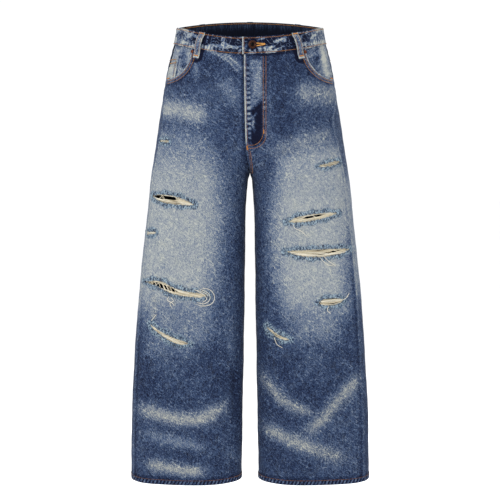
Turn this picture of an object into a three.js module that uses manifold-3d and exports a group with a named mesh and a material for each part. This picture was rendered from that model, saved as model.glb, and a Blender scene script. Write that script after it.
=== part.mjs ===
// Wide-leg ripped jeans, filled out as if worn and hanging from the waist.
// Millimetres. +Z is up, -Y is the front and +X is the wearer's left. z = 0 is the top of the
// waistband at the sides. Every piece of cloth is a thin shell on one smooth body form, at its own
// lift: 0 is the outer face of the panels, and a positive lift is further out.
import * as THREE from 'three';
import { mergeVertices } from 'three/addons/utils/BufferGeometryUtils.js';
import Module from 'manifold-3d';

const wasm = await Module();
wasm.setup();

const LEFT = 1;
const RIGHT = -1;
const degrees = THREE.MathUtils.degToRad;

// ---- Driving dimensions. A height is measured down the garment from the top of the waistband. ----

const OUTSEAM = 1052;
const BAND_DEPTH = 39;
const CROTCH = 340;
const LEG_MERGE = 130;
const SEAM_GAP = 0.3;

// The waist dips at the front and rises at the back, and the hem dips at the front. Each runs out
// between two heights.
const FRONT_DIP = 27;
const BACK_RISE = 21;
const WAIST_TILT = { from: 45, to: 300 };
const HEM_DIP = 9;
const HEM_TILT = { from: 800, to: 1050 };

// The body form, as [height, size] pairs with smooth curves between them.
const HALF_WIDTH = [
  [0, 168.5], [BAND_DEPTH, 176], [90, 188.5], [150, 199.5], [220, 211], [CROTCH, 230],
  [450, 242], [600, 258.5], [750, 270], [900, 278], [OUTSEAM, 281],
];
const FRONT_DEPTH = [
  [0, 88], [90, 98], [180, 104], [260, 102], [CROTCH, 92],
  [450, 79], [600, 67], [800, 59], [OUTSEAM, 55],
];
const BACK_DEPTH = [
  [0, 92], [90, 112], [180, 126], [260, 127], [CROTCH, 112],
  [450, 88], [600, 71], [800, 61], [OUTSEAM, 55],
];
const INSEAM_REACH = [[CROTCH, 0.2], [352, 4.6], [450, 10.2], [640, 13], [OUTSEAM, 19.5]];
const FLY_SHIFT = [[0, 14], [120, 13], [290, 8.4], [CROTCH, 0]];
const FLY_SHIFT_REACH = 120;
const SQUARENESS = { amount: 0.08, from: 60, to: 360 };

// The side seam runs down the very side at the hip, and then swings a little to the front.
const SIDE_SEAM = { rightAngle: 20, leftAngle: 28, from: 125, to: 225 };

// Cloth: one layer of denim with its share of the seam allowances.
const DENIM = 1.5;
const HEM_FOLD = { depth: 12, thickness: 2.7 };

// The ends of the waistband lap: the upper end is raised and the lower end drops under it, each over
// a short ramp. Turns are in degrees round the waist from the middle of the front.
const BAND = { lift: 1, thickness: 3, overEnd: -17.5, underEnd: 45 };
const LAP = { raise: 1.2, upperTurn: 17, drop: 2.4, lowerTurn: 338, ramp: 14 };

const YOKE = { side: 72, centre: 117, level: 185 };
const FACING = { thickness: 1.2, margin: 15, leftLift: -1.8, rightLift: -3.3 };
const COIN_POCKET = { lift: -1.8, thickness: 1.2, top: -70, bottom: -142, topEdge: 167, bottomEdge: 178 };
const BACK_POCKET = { lift: 0.3, top: 124, near: 40, width: 124, drop: 152, point: 24, taper: 6 };

// The scooped front pockets are a quarter ellipse about the corner of side seam and waistband.
const SCOOP = { cornerX: 194, cornerZ: -50, drop: 69, leftReach: 66, rightReach: 60 };

// Belt loops: x of the middle at the top and at the bottom, on the front (1) or the back (-1).
const LOOP_WIDTH = 14;
const LOOP_THICKNESS = 2.2;

// The height and the lift of a loop's inner face: it bows out between its tacked ends.
const LOOP_BOW = [
  [-1, 1.3], [5, 1.5], [10, 4.6], [15, 6.8], [29, 6.8], [36, 5], [43, 2], [50, 0.3], [59, 0.3],
];
const LOOPS = [
  ['belt_loop_front_right', RIGHT, 1, -107, -123],
  ['belt_loop_front_left', LEFT, 1, 100.5, 117.7],
  ['belt_loop_back_right', RIGHT, -1, -112, -124],
  ['belt_loop_back_left', LEFT, -1, 112, 124],
  ['belt_loop_back_centre', LEFT, -1, 0, 0],
];

const BUTTON = { x: 5.2, height: 18.2, radius: 9.5, shank: 3.5, pin: 1.2, eye: 5, slit: 1.5, slitEnd: 33 };
const RIVET = { radius: 3.9, height: 46, rightX: -131.5, leftX: 125.5, pin: 1.1 };
const PIN_CLEARANCE = 0.4;

// Soft folds: side, angle and height of both ends, half width in degrees, height out of the form.
// An angle of 0 is the outer side of the leg, 90 its front, 180 the inseam and -90 its back. An end
// past the hem lets the fold run out at the hem.
const FOLDS = [
  [RIGHT, 128, 480, 112, 1250, 32, 4],
  [RIGHT, 70, 640, 62, 1250, 30, -3.5],
  [LEFT, 122, 520, 108, 1250, 34, 3.5],
  [LEFT, 62, 620, 70, 1250, 30, -3.5],
  [RIGHT, -118, 380, -100, 1250, 34, 6],
  [RIGHT, -62, 420, -58, 1250, 32, -5],
  [LEFT, -114, 400, -104, 1250, 34, 6],
  [LEFT, -60, 380, -62, 1250, 32, -5],
];

// Rips that go right through a front panel: side, the x and z of both ends, how far the upper and
// lower edges bow away from the line between them.
const RIPS = [
  [RIGHT, -222, -384, -127, -405, 8, 11],
  [RIGHT, -240, -585, -98, -613, 4, 14],
  [RIGHT, -230, -683, -139, -727, -6, 16],
  [LEFT, 85, -445, 200, -426, 9, 8],
  [LEFT, 82, -513, 227, -509, 2, 16],
];

// ---- The body form ----

function smooth(t) {
  const s = THREE.MathUtils.clamp(t, 0, 1);
  return s * s * (3 - 2 * s);
}

function rise({ from, to }, h) {
  return smooth((h - from) / (to - from));
}

// A smooth curve through [height, size] pairs.
function along(pairs, h) {
  const last = pairs.length - 1;
  let i = 0;
  while (i < last - 1 && h > pairs[i + 1][0]) i += 1;
  const slope = (k) => {
    const a = pairs[Math.max(k - 1, 0)];
    const b = pairs[Math.min(k + 1, last)];
    return (b[1] - a[1]) / (b[0] - a[0]);
  };
  const [h0, v0] = pairs[i];
  const [h1, v1] = pairs[i + 1];
  const run = h1 - h0;
  const t = THREE.MathUtils.clamp((h - h0) / run, 0, 1);
  const u = 1 - t;
  const ends = v0 * (1 + 2 * t) * u * u + v1 * t * t * (3 - 2 * t);
  return ends + run * t * u * (slope(i) * u - slope(i + 1) * t);
}

// Half a section: the leg, or above the crotch the half of the hips that it grows into.
function section(h) {
  const outer = along(HALF_WIDTH, h);
  const merged = THREE.MathUtils.clamp((CROTCH - h) / LEG_MERGE, 0, 1);
  const inner = h < CROTCH ? INSEAM_REACH[0][1] - outer * merged ** 1.5 : along(INSEAM_REACH, h);
  const full = merged === 1;
  return { centre: full ? 0 : (outer + inner) / 2, reach: full ? outer : (outer - inner) / 2 };
}

function bodyPoint(side, angle, h) {
  const { centre, reach } = section(h);
  const sine = Math.sin(angle);
  const inFront = sine >= 0;
  const square = SQUARENESS.amount * rise(SQUARENESS, h);
  const depth = along(inFront ? FRONT_DEPTH : BACK_DEPTH, h);
  const local = centre + reach * Math.cos(angle);
  const flyShift = along(FLY_SHIFT, Math.min(h, CROTCH)) * (1 - smooth(Math.abs(local) / FLY_SHIFT_REACH));
  const shift = inFront ? flyShift : 0;
  const dip = inFront ? FRONT_DIP * sine ** 2 : -BACK_RISE * Math.abs(sine) ** 1.5;
  const waistTilt = dip * (1 - rise(WAIST_TILT, h));
  const hemTilt = inFront ? HEM_DIP * sine * rise(HEM_TILT, h) : 0;
  return new THREE.Vector3(
    side * local - shift,
    (-depth * (sine + square * Math.sin(3 * angle))) / (1 - square),
    -h - waistTilt - hemTilt,
  );
}

function bodyNormal(side, angle, h) {
  const step = 0.001;
  const round = bodyPoint(side, angle + step, h).sub(bodyPoint(side, angle - step, h));
  const down = bodyPoint(side, angle, h + 0.1).sub(bodyPoint(side, angle, h - 0.1));
  return round.cross(down).multiplyScalar(side).normalize();
}

function foldHeight(side, angle, h) {
  let total = 0;
  for (const [foldSide, angle0, h0, angle1, h1, halfWidth, height] of FOLDS) {
    const t = (h - h0) / (h1 - h0);
    const off = (THREE.MathUtils.radToDeg(angle) - THREE.MathUtils.lerp(angle0, angle1, t)) / halfWidth;
    if (foldSide === side && t > 0 && Math.abs(off) < 1) {
      total += height * smooth(t / 0.3) * 0.5 * (1 + Math.cos(Math.PI * off));
    }
  }
  return total;
}

function clothPoint(side, angle, h, lift) {
  const normal = bodyNormal(side, angle, h);
  return bodyPoint(side, angle, h).addScaledVector(normal, lift + foldHeight(side, angle, h));
}

// The angle that lies a distance along the surface from another, at the same height.
function slide(side, angle, h, distance) {
  const step = 0.001;
  const speed = bodyPoint(side, angle + step, h).distanceTo(bodyPoint(side, angle, h)) / step;
  return angle + distance / speed;
}

// The angle on the front (1) or the back (-1) where the form has a given x.
function angleAtX(side, face, x, h) {
  let low = 0;
  let high = degrees(100);
  for (let i = 0; i < 30; i += 1) {
    const middle = (low + high) / 2;
    if (side * (bodyPoint(side, face * middle, h).x - x) > 0) low = middle;
    else high = middle;
  }
  return (face * (low + high)) / 2;
}

function sideSeam(side, h) {
  const angle = side === LEFT ? SIDE_SEAM.leftAngle : SIDE_SEAM.rightAngle;
  return degrees(angle) * rise(SIDE_SEAM, h);
}

// Where a panel ends: on the centre plane above the crotch, and at the inseam below it.
function innerAngle(h, depth) {
  const { centre, reach } = section(h);
  const toCentre = Math.acos(THREE.MathUtils.clamp((SEAM_GAP / 2 - centre) / reach, -1, 1));
  return Math.min(toCentre, Math.PI - SEAM_GAP / 2 / depth);
}

// ---- Solids ----

// Turns the faces of a closed geometry outward.
function outward(geometry) {
  const { array } = geometry.attributes.position;
  const index = geometry.index.array;
  const corner = (k) => new THREE.Vector3().fromArray(array, 3 * index[k]);
  let volume = 0;
  for (let k = 0; k < index.length; k += 3) volume += corner(k).dot(corner(k + 1).cross(corner(k + 2)));
  if (volume < 0) {
    for (let k = 0; k < index.length; k += 3) [index[k], index[k + 1]] = [index[k + 1], index[k]];
  }
  return geometry;
}

// A closed thin wall over a grid of columns and rows. place(i, j, layer) gives a point of its outer
// face (layer 0) or of its inner face (layer 1).
function shell(columns, rows, place) {
  const positions = [];
  const faces = [];
  const at = (i, j, layer) => (layer * (rows + 1) + j) * (columns + 1) + i;
  const quad = (a, b, c, d) => faces.push(a, b, c, a, c, d);
  for (const layer of [0, 1]) {
    for (let j = 0; j <= rows; j += 1) {
      for (let i = 0; i <= columns; i += 1) positions.push(...place(i, j, layer).toArray());
    }
  }
  for (let j = 0; j < rows; j += 1) {
    for (let i = 0; i < columns; i += 1) {
      quad(at(i, j, 0), at(i + 1, j, 0), at(i + 1, j + 1, 0), at(i, j + 1, 0));
      faces.push(at(i, j, 1), at(i + 1, j + 1, 1), at(i + 1, j, 1));
      faces.push(at(i, j, 1), at(i, j + 1, 1), at(i + 1, j + 1, 1));
    }
    quad(at(0, j, 0), at(0, j + 1, 0), at(0, j + 1, 1), at(0, j, 1));
    quad(at(columns, j, 0), at(columns, j, 1), at(columns, j + 1, 1), at(columns, j + 1, 0));
  }
  for (let i = 0; i < columns; i += 1) {
    quad(at(i, 0, 0), at(i, 0, 1), at(i + 1, 0, 1), at(i + 1, 0, 0));
    quad(at(i, rows, 0), at(i + 1, rows, 0), at(i + 1, rows, 1), at(i, rows, 1));
  }
  const geometry = new THREE.BufferGeometry();
  geometry.setAttribute('position', new THREE.Float32BufferAttribute(positions, 3));
  geometry.setIndex(faces);
  return outward(geometry);
}

function toManifold(geometry) {
  const bare = geometry.clone();
  bare.deleteAttribute('normal');
  bare.deleteAttribute('uv');
  const merged = mergeVertices(bare, 1e-4);
  return new wasm.Manifold(new wasm.Mesh({
    numProp: 3,
    vertProperties: new Float32Array(merged.attributes.position.array),
    triVerts: new Uint32Array(merged.index.array),
  }));
}

function fromManifold(solid) {
  const mesh = solid.getMesh();
  const geometry = new THREE.BufferGeometry();
  geometry.setAttribute('position', new THREE.BufferAttribute(mesh.vertProperties, 3));
  geometry.setIndex(new THREE.BufferAttribute(mesh.triVerts, 1));
  return geometry;
}

function cutAway(geometry, tools) {
  return fromManifold(tools.reduce((solid, tool) => solid.subtract(toManifold(tool)), toManifold(geometry)));
}

function keepInside(geometry, tool) {
  return fromManifold(toManifold(geometry).intersect(toManifold(tool)));
}

// A block of an outline in x and z, from the middle of the garment out past its front (1) or back (-1).
function block(outline, face) {
  const depth = 200;
  const geometry = new THREE.ExtrudeGeometry(new THREE.Shape(outline), { depth, bevelEnabled: false });
  geometry.rotateX(Math.PI / 2);
  geometry.translate(0, face > 0 ? 0 : depth, 0);
  return geometry;
}

// How far an outline that a piece runs out of goes on past the piece's edge.
const OUTLINE_MARGIN = 40;

function scoopOutline(side, margin) {
  const reach = (side === LEFT ? SCOOP.leftReach : SCOOP.rightReach) + margin;
  const drop = SCOOP.drop + margin;
  const { cornerX, cornerZ } = SCOOP;
  const curve = new THREE.EllipseCurve(cornerX, cornerZ, reach, drop, Math.PI, 1.5 * Math.PI, false, 0);
  const points = curve.getPoints(8);
  const beyond = cornerX + OUTLINE_MARGIN;
  const above = cornerZ + OUTLINE_MARGIN;
  const outline = [
    new THREE.Vector2(points[0].x, above),
    ...points,
    new THREE.Vector2(beyond, SCOOP.cornerZ - drop),
    new THREE.Vector2(beyond, above),
  ];
  return outline.map((point) => new THREE.Vector2(side * point.x, point.y));
}

function ripOutline([, x0, z0, x1, z1, up, down]) {
  const ends = [new THREE.Vector2(x0, z0), new THREE.Vector2(x1, z1)];
  const middle = (bow) => new THREE.Vector2((x0 + x1) / 2, (z0 + z1) / 2 + 2 * bow);
  const upper = new THREE.QuadraticBezierCurve(ends[0], middle(up), ends[1]).getPoints(5);
  const lower = new THREE.QuadraticBezierCurve(ends[1], middle(-down), ends[0]).getPoints(5);
  return [...upper, ...lower.slice(1, -1)];
}

function backPocketOutline(side) {
  const { top, near, width, drop, point, taper } = BACK_POCKET;
  return [
    [near, -top],
    [near + width, -top + 4],
    [near + width - taper, -top - drop + point],
    [near + width / 2, -top - drop],
    [near + taper, -top - drop + point],
  ].map(([x, z]) => new THREE.Vector2(side * x, z));
}

// Stands a geometry made about +Y on the body form, with +Y along its normal.
function standOn(geometry, side, angle, h) {
  const up = new THREE.Vector3(0, 1, 0);
  const turn = new THREE.Quaternion().setFromUnitVectors(up, bodyNormal(side, angle, h));
  const place = bodyPoint(side, angle, h);
  return geometry.applyMatrix4(new THREE.Matrix4().compose(place, turn, new THREE.Vector3(1, 1, 1)));
}

function pinHole(side, angle, h, radius) {
  const clear = radius + PIN_CLEARANCE;
  return standOn(new THREE.CylinderGeometry(clear, clear, 16, 8), side, angle, h);
}

// ---- The panels ----

const HEM_TOP = OUTSEAM - HEM_FOLD.depth;
const PANEL_HEIGHTS = [
  BAND_DEPTH + SEAM_GAP, 64, 90, 116, 142, 168, 195, 224, 252, 278, 302, 320, 332, CROTCH, 346, 360, 385,
  420, 470, 535, 605, 680, 760, 840, 920, 990, HEM_TOP - 0.5, HEM_TOP, OUTSEAM,
];
const POCKET_HEIGHTS = PANEL_HEIGHTS.filter((h) => h < 200);
const FRONT_COLUMNS = 12;
const BACK_COLUMNS = 10;

function panelThickness(h) {
  return h >= HEM_TOP ? HEM_FOLD.thickness : DENIM;
}

// A copy of the front panel's grid at some lift, with the same columns as the panel itself.
function frontGrid(side, heights, lift, thickness) {
  return shell(FRONT_COLUMNS, heights.length - 1, (i, j, layer) => {
    const h = heights[j];
    const start = slide(side, sideSeam(side, h), h, SEAM_GAP / 2);
    const end = innerAngle(h, along(FRONT_DEPTH, h));
    const angle = THREE.MathUtils.lerp(start, end, i / FRONT_COLUMNS);
    return clothPoint(side, angle, h, lift - layer * (thickness ?? panelThickness(h)));
  });
}

// The yoke seam drops from the side seam to the middle of the back.
function yokeSeam(share) {
  return THREE.MathUtils.lerp(YOKE.side, YOKE.centre, share);
}

function backAngle(side, h, share) {
  const start = slide(side, sideSeam(side, h), h, -SEAM_GAP / 2);
  return THREE.MathUtils.lerp(start, -innerAngle(h, along(BACK_DEPTH, h)), share);
}

const BACK_HEIGHTS = [YOKE.side, 92, ...PANEL_HEIGHTS.filter((h) => h > 100)];

function backGrid(side, heights, lift, thickness) {
  return shell(BACK_COLUMNS, heights.length - 1, (i, j, layer) => {
    const share = i / BACK_COLUMNS;
    const level = THREE.MathUtils.clamp((YOKE.level - heights[j]) / (YOKE.level - YOKE.side), 0, 1);
    const h = heights[j] + (yokeSeam(share) - YOKE.side) * level + (SEAM_GAP / 2) * level;
    return clothPoint(side, backAngle(side, h, share), h, lift - layer * (thickness ?? panelThickness(h)));
  });
}

function yokeGrid(side) {
  const rows = 3;
  return shell(BACK_COLUMNS, rows, (i, j, layer) => {
    const share = i / BACK_COLUMNS;
    const h = THREE.MathUtils.lerp(BAND_DEPTH + SEAM_GAP, yokeSeam(share) - SEAM_GAP / 2, j / rows);
    return clothPoint(side, backAngle(side, h, share), h, -layer * DENIM);
  });
}

const rivetAngle = {
  [RIGHT]: angleAtX(RIGHT, 1, RIVET.rightX, RIVET.height),
  [LEFT]: angleAtX(LEFT, 1, RIVET.leftX, RIVET.height),
};

function rivetHole(side) {
  return pinHole(side, rivetAngle[side], RIVET.height, RIVET.pin);
}

function frontPanel(side) {
  const rips = RIPS.filter(([ripSide]) => ripSide === side).map((rip) => block(ripOutline(rip), 1));
  const scoop = block(scoopOutline(side, 0), 1);
  return cutAway(frontGrid(side, PANEL_HEIGHTS, 0), [scoop, rivetHole(side), ...rips]);
}

function pocketFacing(side) {
  const lift = side === LEFT ? FACING.leftLift : FACING.rightLift;
  const sheet = frontGrid(side, POCKET_HEIGHTS, lift, FACING.thickness);
  return cutAway(keepInside(sheet, block(scoopOutline(side, FACING.margin), 1)), [rivetHole(side)]);
}

function coinPocket() {
  const { lift, thickness, top, bottom, topEdge, bottomEdge } = COIN_POCKET;
  const beyond = SCOOP.cornerX + OUTLINE_MARGIN;
  const outline = [[beyond, top + 1], [topEdge, top], [bottomEdge, bottom], [beyond, bottom]];
  const sheet = frontGrid(RIGHT, POCKET_HEIGHTS, lift, thickness);
  return keepInside(sheet, block(outline.map(([x, z]) => new THREE.Vector2(RIGHT * x, z)), 1));
}

function backPocket(side) {
  const { lift } = BACK_POCKET;
  const sheet = backGrid(side, BACK_HEIGHTS.filter((h) => h < CROTCH), lift + DENIM, DENIM);
  return keepInside(sheet, block(backPocketOutline(side), -1));
}

// ---- The waistband, its loops and its metal ----

// Round the waist from the middle of the front, over the wearer's left side and back to the front.
function roundWaist(turn) {
  const half = turn <= Math.PI;
  return { side: half ? LEFT : RIGHT, angle: half ? Math.PI / 2 - turn : turn - 1.5 * Math.PI };
}

const BAND_COLUMNS = 44;
const BAND_ROWS = 2;

function bandPoint(turn, h, layer) {
  const { side, angle } = roundWaist(turn);
  const past = (start) => smooth((turn - degrees(start)) / degrees(LAP.ramp));
  const raise = LAP.raise * (1 - past(LAP.upperTurn));
  const drop = LAP.drop * past(LAP.lowerTurn);
  return clothPoint(side, angle, h, BAND.lift + raise - drop - layer * BAND.thickness);
}

function waistband() {
  const band = shell(BAND_COLUMNS, BAND_ROWS, (i, j, layer) => {
    const h = (BAND_DEPTH * j) / BAND_ROWS;
    const start = Math.PI / 2 - angleAtX(LEFT, 1, BAND.overEnd, h);
    const end = 2.5 * Math.PI - angleAtX(LEFT, 1, BAND.underEnd, h);
    return bandPoint(THREE.MathUtils.lerp(start, end, i / BAND_COLUMNS), h, layer);
  });
  return cutAway(band, [buttonhole(), pinHole(LEFT, buttonAngle, BUTTON.height, BUTTON.pin)]);
}

const buttonAngle = angleAtX(LEFT, 1, BUTTON.x, BUTTON.height);

// The buttonhole is a round eye with a slit towards the side seam, through the upper end only.
function buttonhole() {
  const steps = 8;
  const clear = 8;
  const between = BAND.lift + LAP.raise - BAND.thickness - SEAM_GAP;
  return shell(steps, 1, (i, j, layer) => {
    const t = i / steps;
    const x = THREE.MathUtils.lerp(BUTTON.x - BUTTON.eye, BUTTON.slitEnd, t * t);
    const half = Math.max(BUTTON.slit, Math.sqrt(Math.max(0, BUTTON.eye ** 2 - (x - BUTTON.x) ** 2)));
    const angle = angleAtX(LEFT, 1, x, BUTTON.height);
    return clothPoint(LEFT, angle, BUTTON.height + (2 * j - 1) * half, layer === 0 ? clear : between);
  });
}

// A strip over the waistband, tacked at both ends and bowed out between them.
function beltLoop(side, face, topX, bottomX) {
  const rows = LOOP_BOW.length - 1;
  const columns = 2;
  const top = LOOP_BOW[0][0];
  const bottom = LOOP_BOW[rows][0];
  return shell(columns, rows, (i, j, layer) => {
    const [h, lift] = LOOP_BOW[j];
    const x = THREE.MathUtils.lerp(topX, bottomX, (h - top) / (bottom - top));
    const middle = angleAtX(side, face, x, h);
    const angle = slide(side, middle, h, LOOP_WIDTH * (i / columns - 0.5));
    return clothPoint(side, angle, h, lift + (1 - layer) * LOOP_THICKNESS);
  });
}

function lathe(profile, segments) {
  return new THREE.LatheGeometry(profile.map(([radius, y]) => new THREE.Vector2(radius, y)), segments);
}

// A tack button: the cap, the shank through the buttonhole, and the pin through the lower end of
// the waistband to its head inside.
function waistButton() {
  const { radius, shank, pin } = BUTTON;
  const inside = BAND.lift - LAP.drop - BAND.thickness - SEAM_GAP;
  const onUnderEnd = BAND.lift - LAP.drop + SEAM_GAP;
  const cap = BAND.lift + LAP.raise + 0.8;
  const profile = [
    [0, inside - 1.3], [4.5, inside - 1.3], [4.5, inside], [pin, inside], [pin, onUnderEnd],
    [shank, onUnderEnd], [shank, cap], [radius - 0.9, cap], [radius, cap + 0.8], [radius - 0.1, cap + 1.8],
    [radius - 1.1, cap + 2.6], [radius - 2.9, cap + 2.9], [radius - 4, cap + 2.2], [2.4, cap + 2],
    [1.6, cap + 2.7], [0, cap + 2.9],
  ];
  return standOn(lathe(profile, 16), LEFT, buttonAngle, BUTTON.height);
}

function rivet(side) {
  const { radius, pin } = RIVET;
  const facing = side === LEFT ? FACING.leftLift : FACING.rightLift;
  const inside = facing - FACING.thickness - SEAM_GAP;
  const profile = [
    [0, inside - 0.9], [3, inside - 0.9], [3, inside], [pin, inside], [pin, SEAM_GAP],
    [radius, SEAM_GAP], [radius, 0.9], [radius - 1.1, 1.8], [1.5, 2.2], [0, 2.3],
  ];
  return standOn(lathe(profile, 12), side, rivetAngle[side], RIVET.height);
}

// ---- The garment ----

const COLOURS = {
  front: 0x66799a, back: 0x51658a, yoke: 0x4b5f86, band: 0x6f7f9c, facing: 0xa9aca5, loop: 0x8d99a8,
};
const garment = new THREE.Group();
garment.name = 'ripped_jeans';

function add(name, geometry, colour, roughness = 0.9, metalness = 0) {
  const material = new THREE.MeshStandardMaterial({ color: colour, roughness, metalness });
  const mesh = new THREE.Mesh(geometry, material);
  mesh.name = name;
  garment.add(mesh);
}

for (const [side, hand] of [[RIGHT, 'right'], [LEFT, 'left']]) {
  add(`front_panel_${hand}`, frontPanel(side), COLOURS.front);
  add(`back_panel_${hand}`, backGrid(side, BACK_HEIGHTS, 0), COLOURS.back);
  add(`yoke_${hand}`, yokeGrid(side), COLOURS.yoke);
  add(`back_pocket_${hand}`, backPocket(side), COLOURS.back);
  add(`pocket_facing_${hand}`, pocketFacing(side), COLOURS.facing);
  add(`rivet_${hand}`, rivet(side), 0x9a5a3a, 0.35, 1);
}
add('coin_pocket', coinPocket(), COLOURS.facing);
add('waistband', waistband(), COLOURS.band);
for (const [name, side, face, topX, bottomX] of LOOPS) {
  add(name, beltLoop(side, face, topX, bottomX), COLOURS.loop);
}
add('waist_button', waistButton(), 0x5e4036, 0.35, 1);

export default garment;
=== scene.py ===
"""Looks of the ripped wide-leg jeans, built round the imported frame.

Dimensions are millimetres until a mesh is made. +Z is up, -Y is the front and +X is the wearer's
left. A height h is measured down the garment from the top of the waistband. An angle goes round a
leg: 0 is its outer side, 90 degrees its front, 180 its inseam and -90 its back. Every piece of
cloth is placed on one body form, at a lift from the outer face of the panels.
"""
import math

import bpy
import numpy as np
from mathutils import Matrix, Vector


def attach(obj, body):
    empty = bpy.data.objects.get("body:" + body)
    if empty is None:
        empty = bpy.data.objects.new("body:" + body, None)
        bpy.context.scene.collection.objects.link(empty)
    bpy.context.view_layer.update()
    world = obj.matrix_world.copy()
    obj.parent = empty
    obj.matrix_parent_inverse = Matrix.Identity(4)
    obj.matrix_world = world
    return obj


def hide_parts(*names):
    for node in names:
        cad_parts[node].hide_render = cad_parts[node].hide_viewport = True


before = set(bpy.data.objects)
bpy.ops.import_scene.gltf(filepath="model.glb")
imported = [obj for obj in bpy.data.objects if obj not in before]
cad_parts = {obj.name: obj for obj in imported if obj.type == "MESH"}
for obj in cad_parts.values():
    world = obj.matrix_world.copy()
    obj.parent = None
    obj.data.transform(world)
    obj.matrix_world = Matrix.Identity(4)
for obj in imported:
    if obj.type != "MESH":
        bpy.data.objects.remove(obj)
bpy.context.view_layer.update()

MM = 0.001
LEFT, RIGHT = 1, -1
FRONT, BACK = 1, -1
HANDS = {LEFT: "left", RIGHT: "right"}
rng = np.random.default_rng(7)

# ---- The body form, with the driving dimensions of the CAD ----

OUTSEAM = 1052
BAND_DEPTH = 39
CROTCH = 340
LEG_MERGE = 130
SEAM_GAP = 0.3
FRONT_DIP, BACK_RISE, HEM_DIP = 27, 21, 9
HALF_WIDTH = [
    (0, 168.5), (BAND_DEPTH, 176), (90, 188.5), (150, 199.5), (220, 211), (CROTCH, 230),
    (450, 242), (600, 258.5), (750, 270), (900, 278), (OUTSEAM, 281),
]
FRONT_DEPTH = [
    (0, 88), (90, 98), (180, 104), (260, 102), (CROTCH, 92),
    (450, 79), (600, 67), (800, 59), (OUTSEAM, 55),
]
BACK_DEPTH = [
    (0, 92), (90, 112), (180, 126), (260, 127), (CROTCH, 112),
    (450, 88), (600, 71), (800, 61), (OUTSEAM, 55),
]
INSEAM_REACH = [(CROTCH, 0.2), (352, 4.6), (450, 10.2), (640, 13), (OUTSEAM, 19.5)]
FLY_SHIFT = [(0, 14), (120, 13), (290, 8.4), (CROTCH, 0)]
FLY_SHIFT_REACH = 120
SQUARENESS = 0.08
SIDE_SEAM_ANGLE = {RIGHT: 20, LEFT: 28}

# The rows of a panel's grid are closer from the height HEM_ROWS down, and on the front between the
# two heights RIP_ROWS.
DENIM, THIN_DENIM = 1.5, 1.2
HEM_DEPTH, HEM_THICKNESS = 12, 2.7
HEM_ROWS = OUTSEAM - 14
RIP_ROWS = (366, 750)
YOKE_SIDE, YOKE_CENTRE, YOKE_LEVEL = 72, 117, 185

# The waistband: the x of its two ends in front, and the turns in degrees where they lap.
BAND_LIFT, BAND_THICKNESS, BAND_LENGTH = 1, 3, 922
BAND_ENDS = (-17.5, 45)
LAP_RAISE, LAP_DROP = 1.2, 2.4
UPPER_TURN, LOWER_TURN, LAP_RAMP = 17, 338, 14

# The pockets: the corner of side seam and waistband, and how far the scoop reaches from it.
SCOOP_CORNER = (194, -50)
SCOOP_DROP = 69
SCOOP_REACH = {LEFT: 66, RIGHT: 60}
FACING_LIFT = {LEFT: -1.8, RIGHT: -3.3}
FACING_MARGIN = 15
COIN_LIFT = -1.8
COIN_OUTLINE = [(-234, -71), (-167, -70), (-178, -142), (-234, -142)]
POCKET_LIFT = 0.3
POCKET_OUTLINE = [(40, -124), (164, -120), (158, -252), (102, -276), (46, -252)]

# Belt loops: name, side, face, and the x of the middle line at the top and at the bottom. The bow
# is the lift of a loop's inner face at its heights.
LOOP_WIDTH, LOOP_THICKNESS = 14, 2.2
LOOP_TOP, LOOP_BOTTOM = -1, 59
LOOP_BOW = [
    (LOOP_TOP, 1.3), (5, 1.5), (10, 4.6), (15, 6.8), (29, 6.8),
    (36, 5), (43, 2), (50, 0.3), (LOOP_BOTTOM, 0.3),
]
LOOPS = [
    ("front_right", RIGHT, FRONT, -107, -123), ("front_left", LEFT, FRONT, 100.5, 117.7),
    ("back_right", RIGHT, BACK, -112, -124), ("back_left", LEFT, BACK, 112, 124),
    ("back_centre", LEFT, BACK, 0, 0),
]

BUTTON_X, BUTTON_H = 5.2, 18.2
EYE_RADIUS, SLIT_END, SLIT_HALF = 5, 33, 1.5
RIVET_X = {LEFT: 125.5, RIGHT: -131.5}
RIVET_H = 46

# Folds of the form: side, angle and height of both ends, half width in degrees, height.
FOLDS = [
    (RIGHT, 128, 480, 112, 1250, 32, 4), (RIGHT, 70, 640, 62, 1250, 30, -3.5),
    (LEFT, 122, 520, 108, 1250, 34, 3.5), (LEFT, 62, 620, 70, 1250, 30, -3.5),
    (RIGHT, -118, 380, -100, 1250, 34, 6), (RIGHT, -62, 420, -58, 1250, 32, -5),
    (LEFT, -114, 400, -104, 1250, 34, 6), (LEFT, -60, 380, -62, 1250, 32, -5),
]

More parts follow.
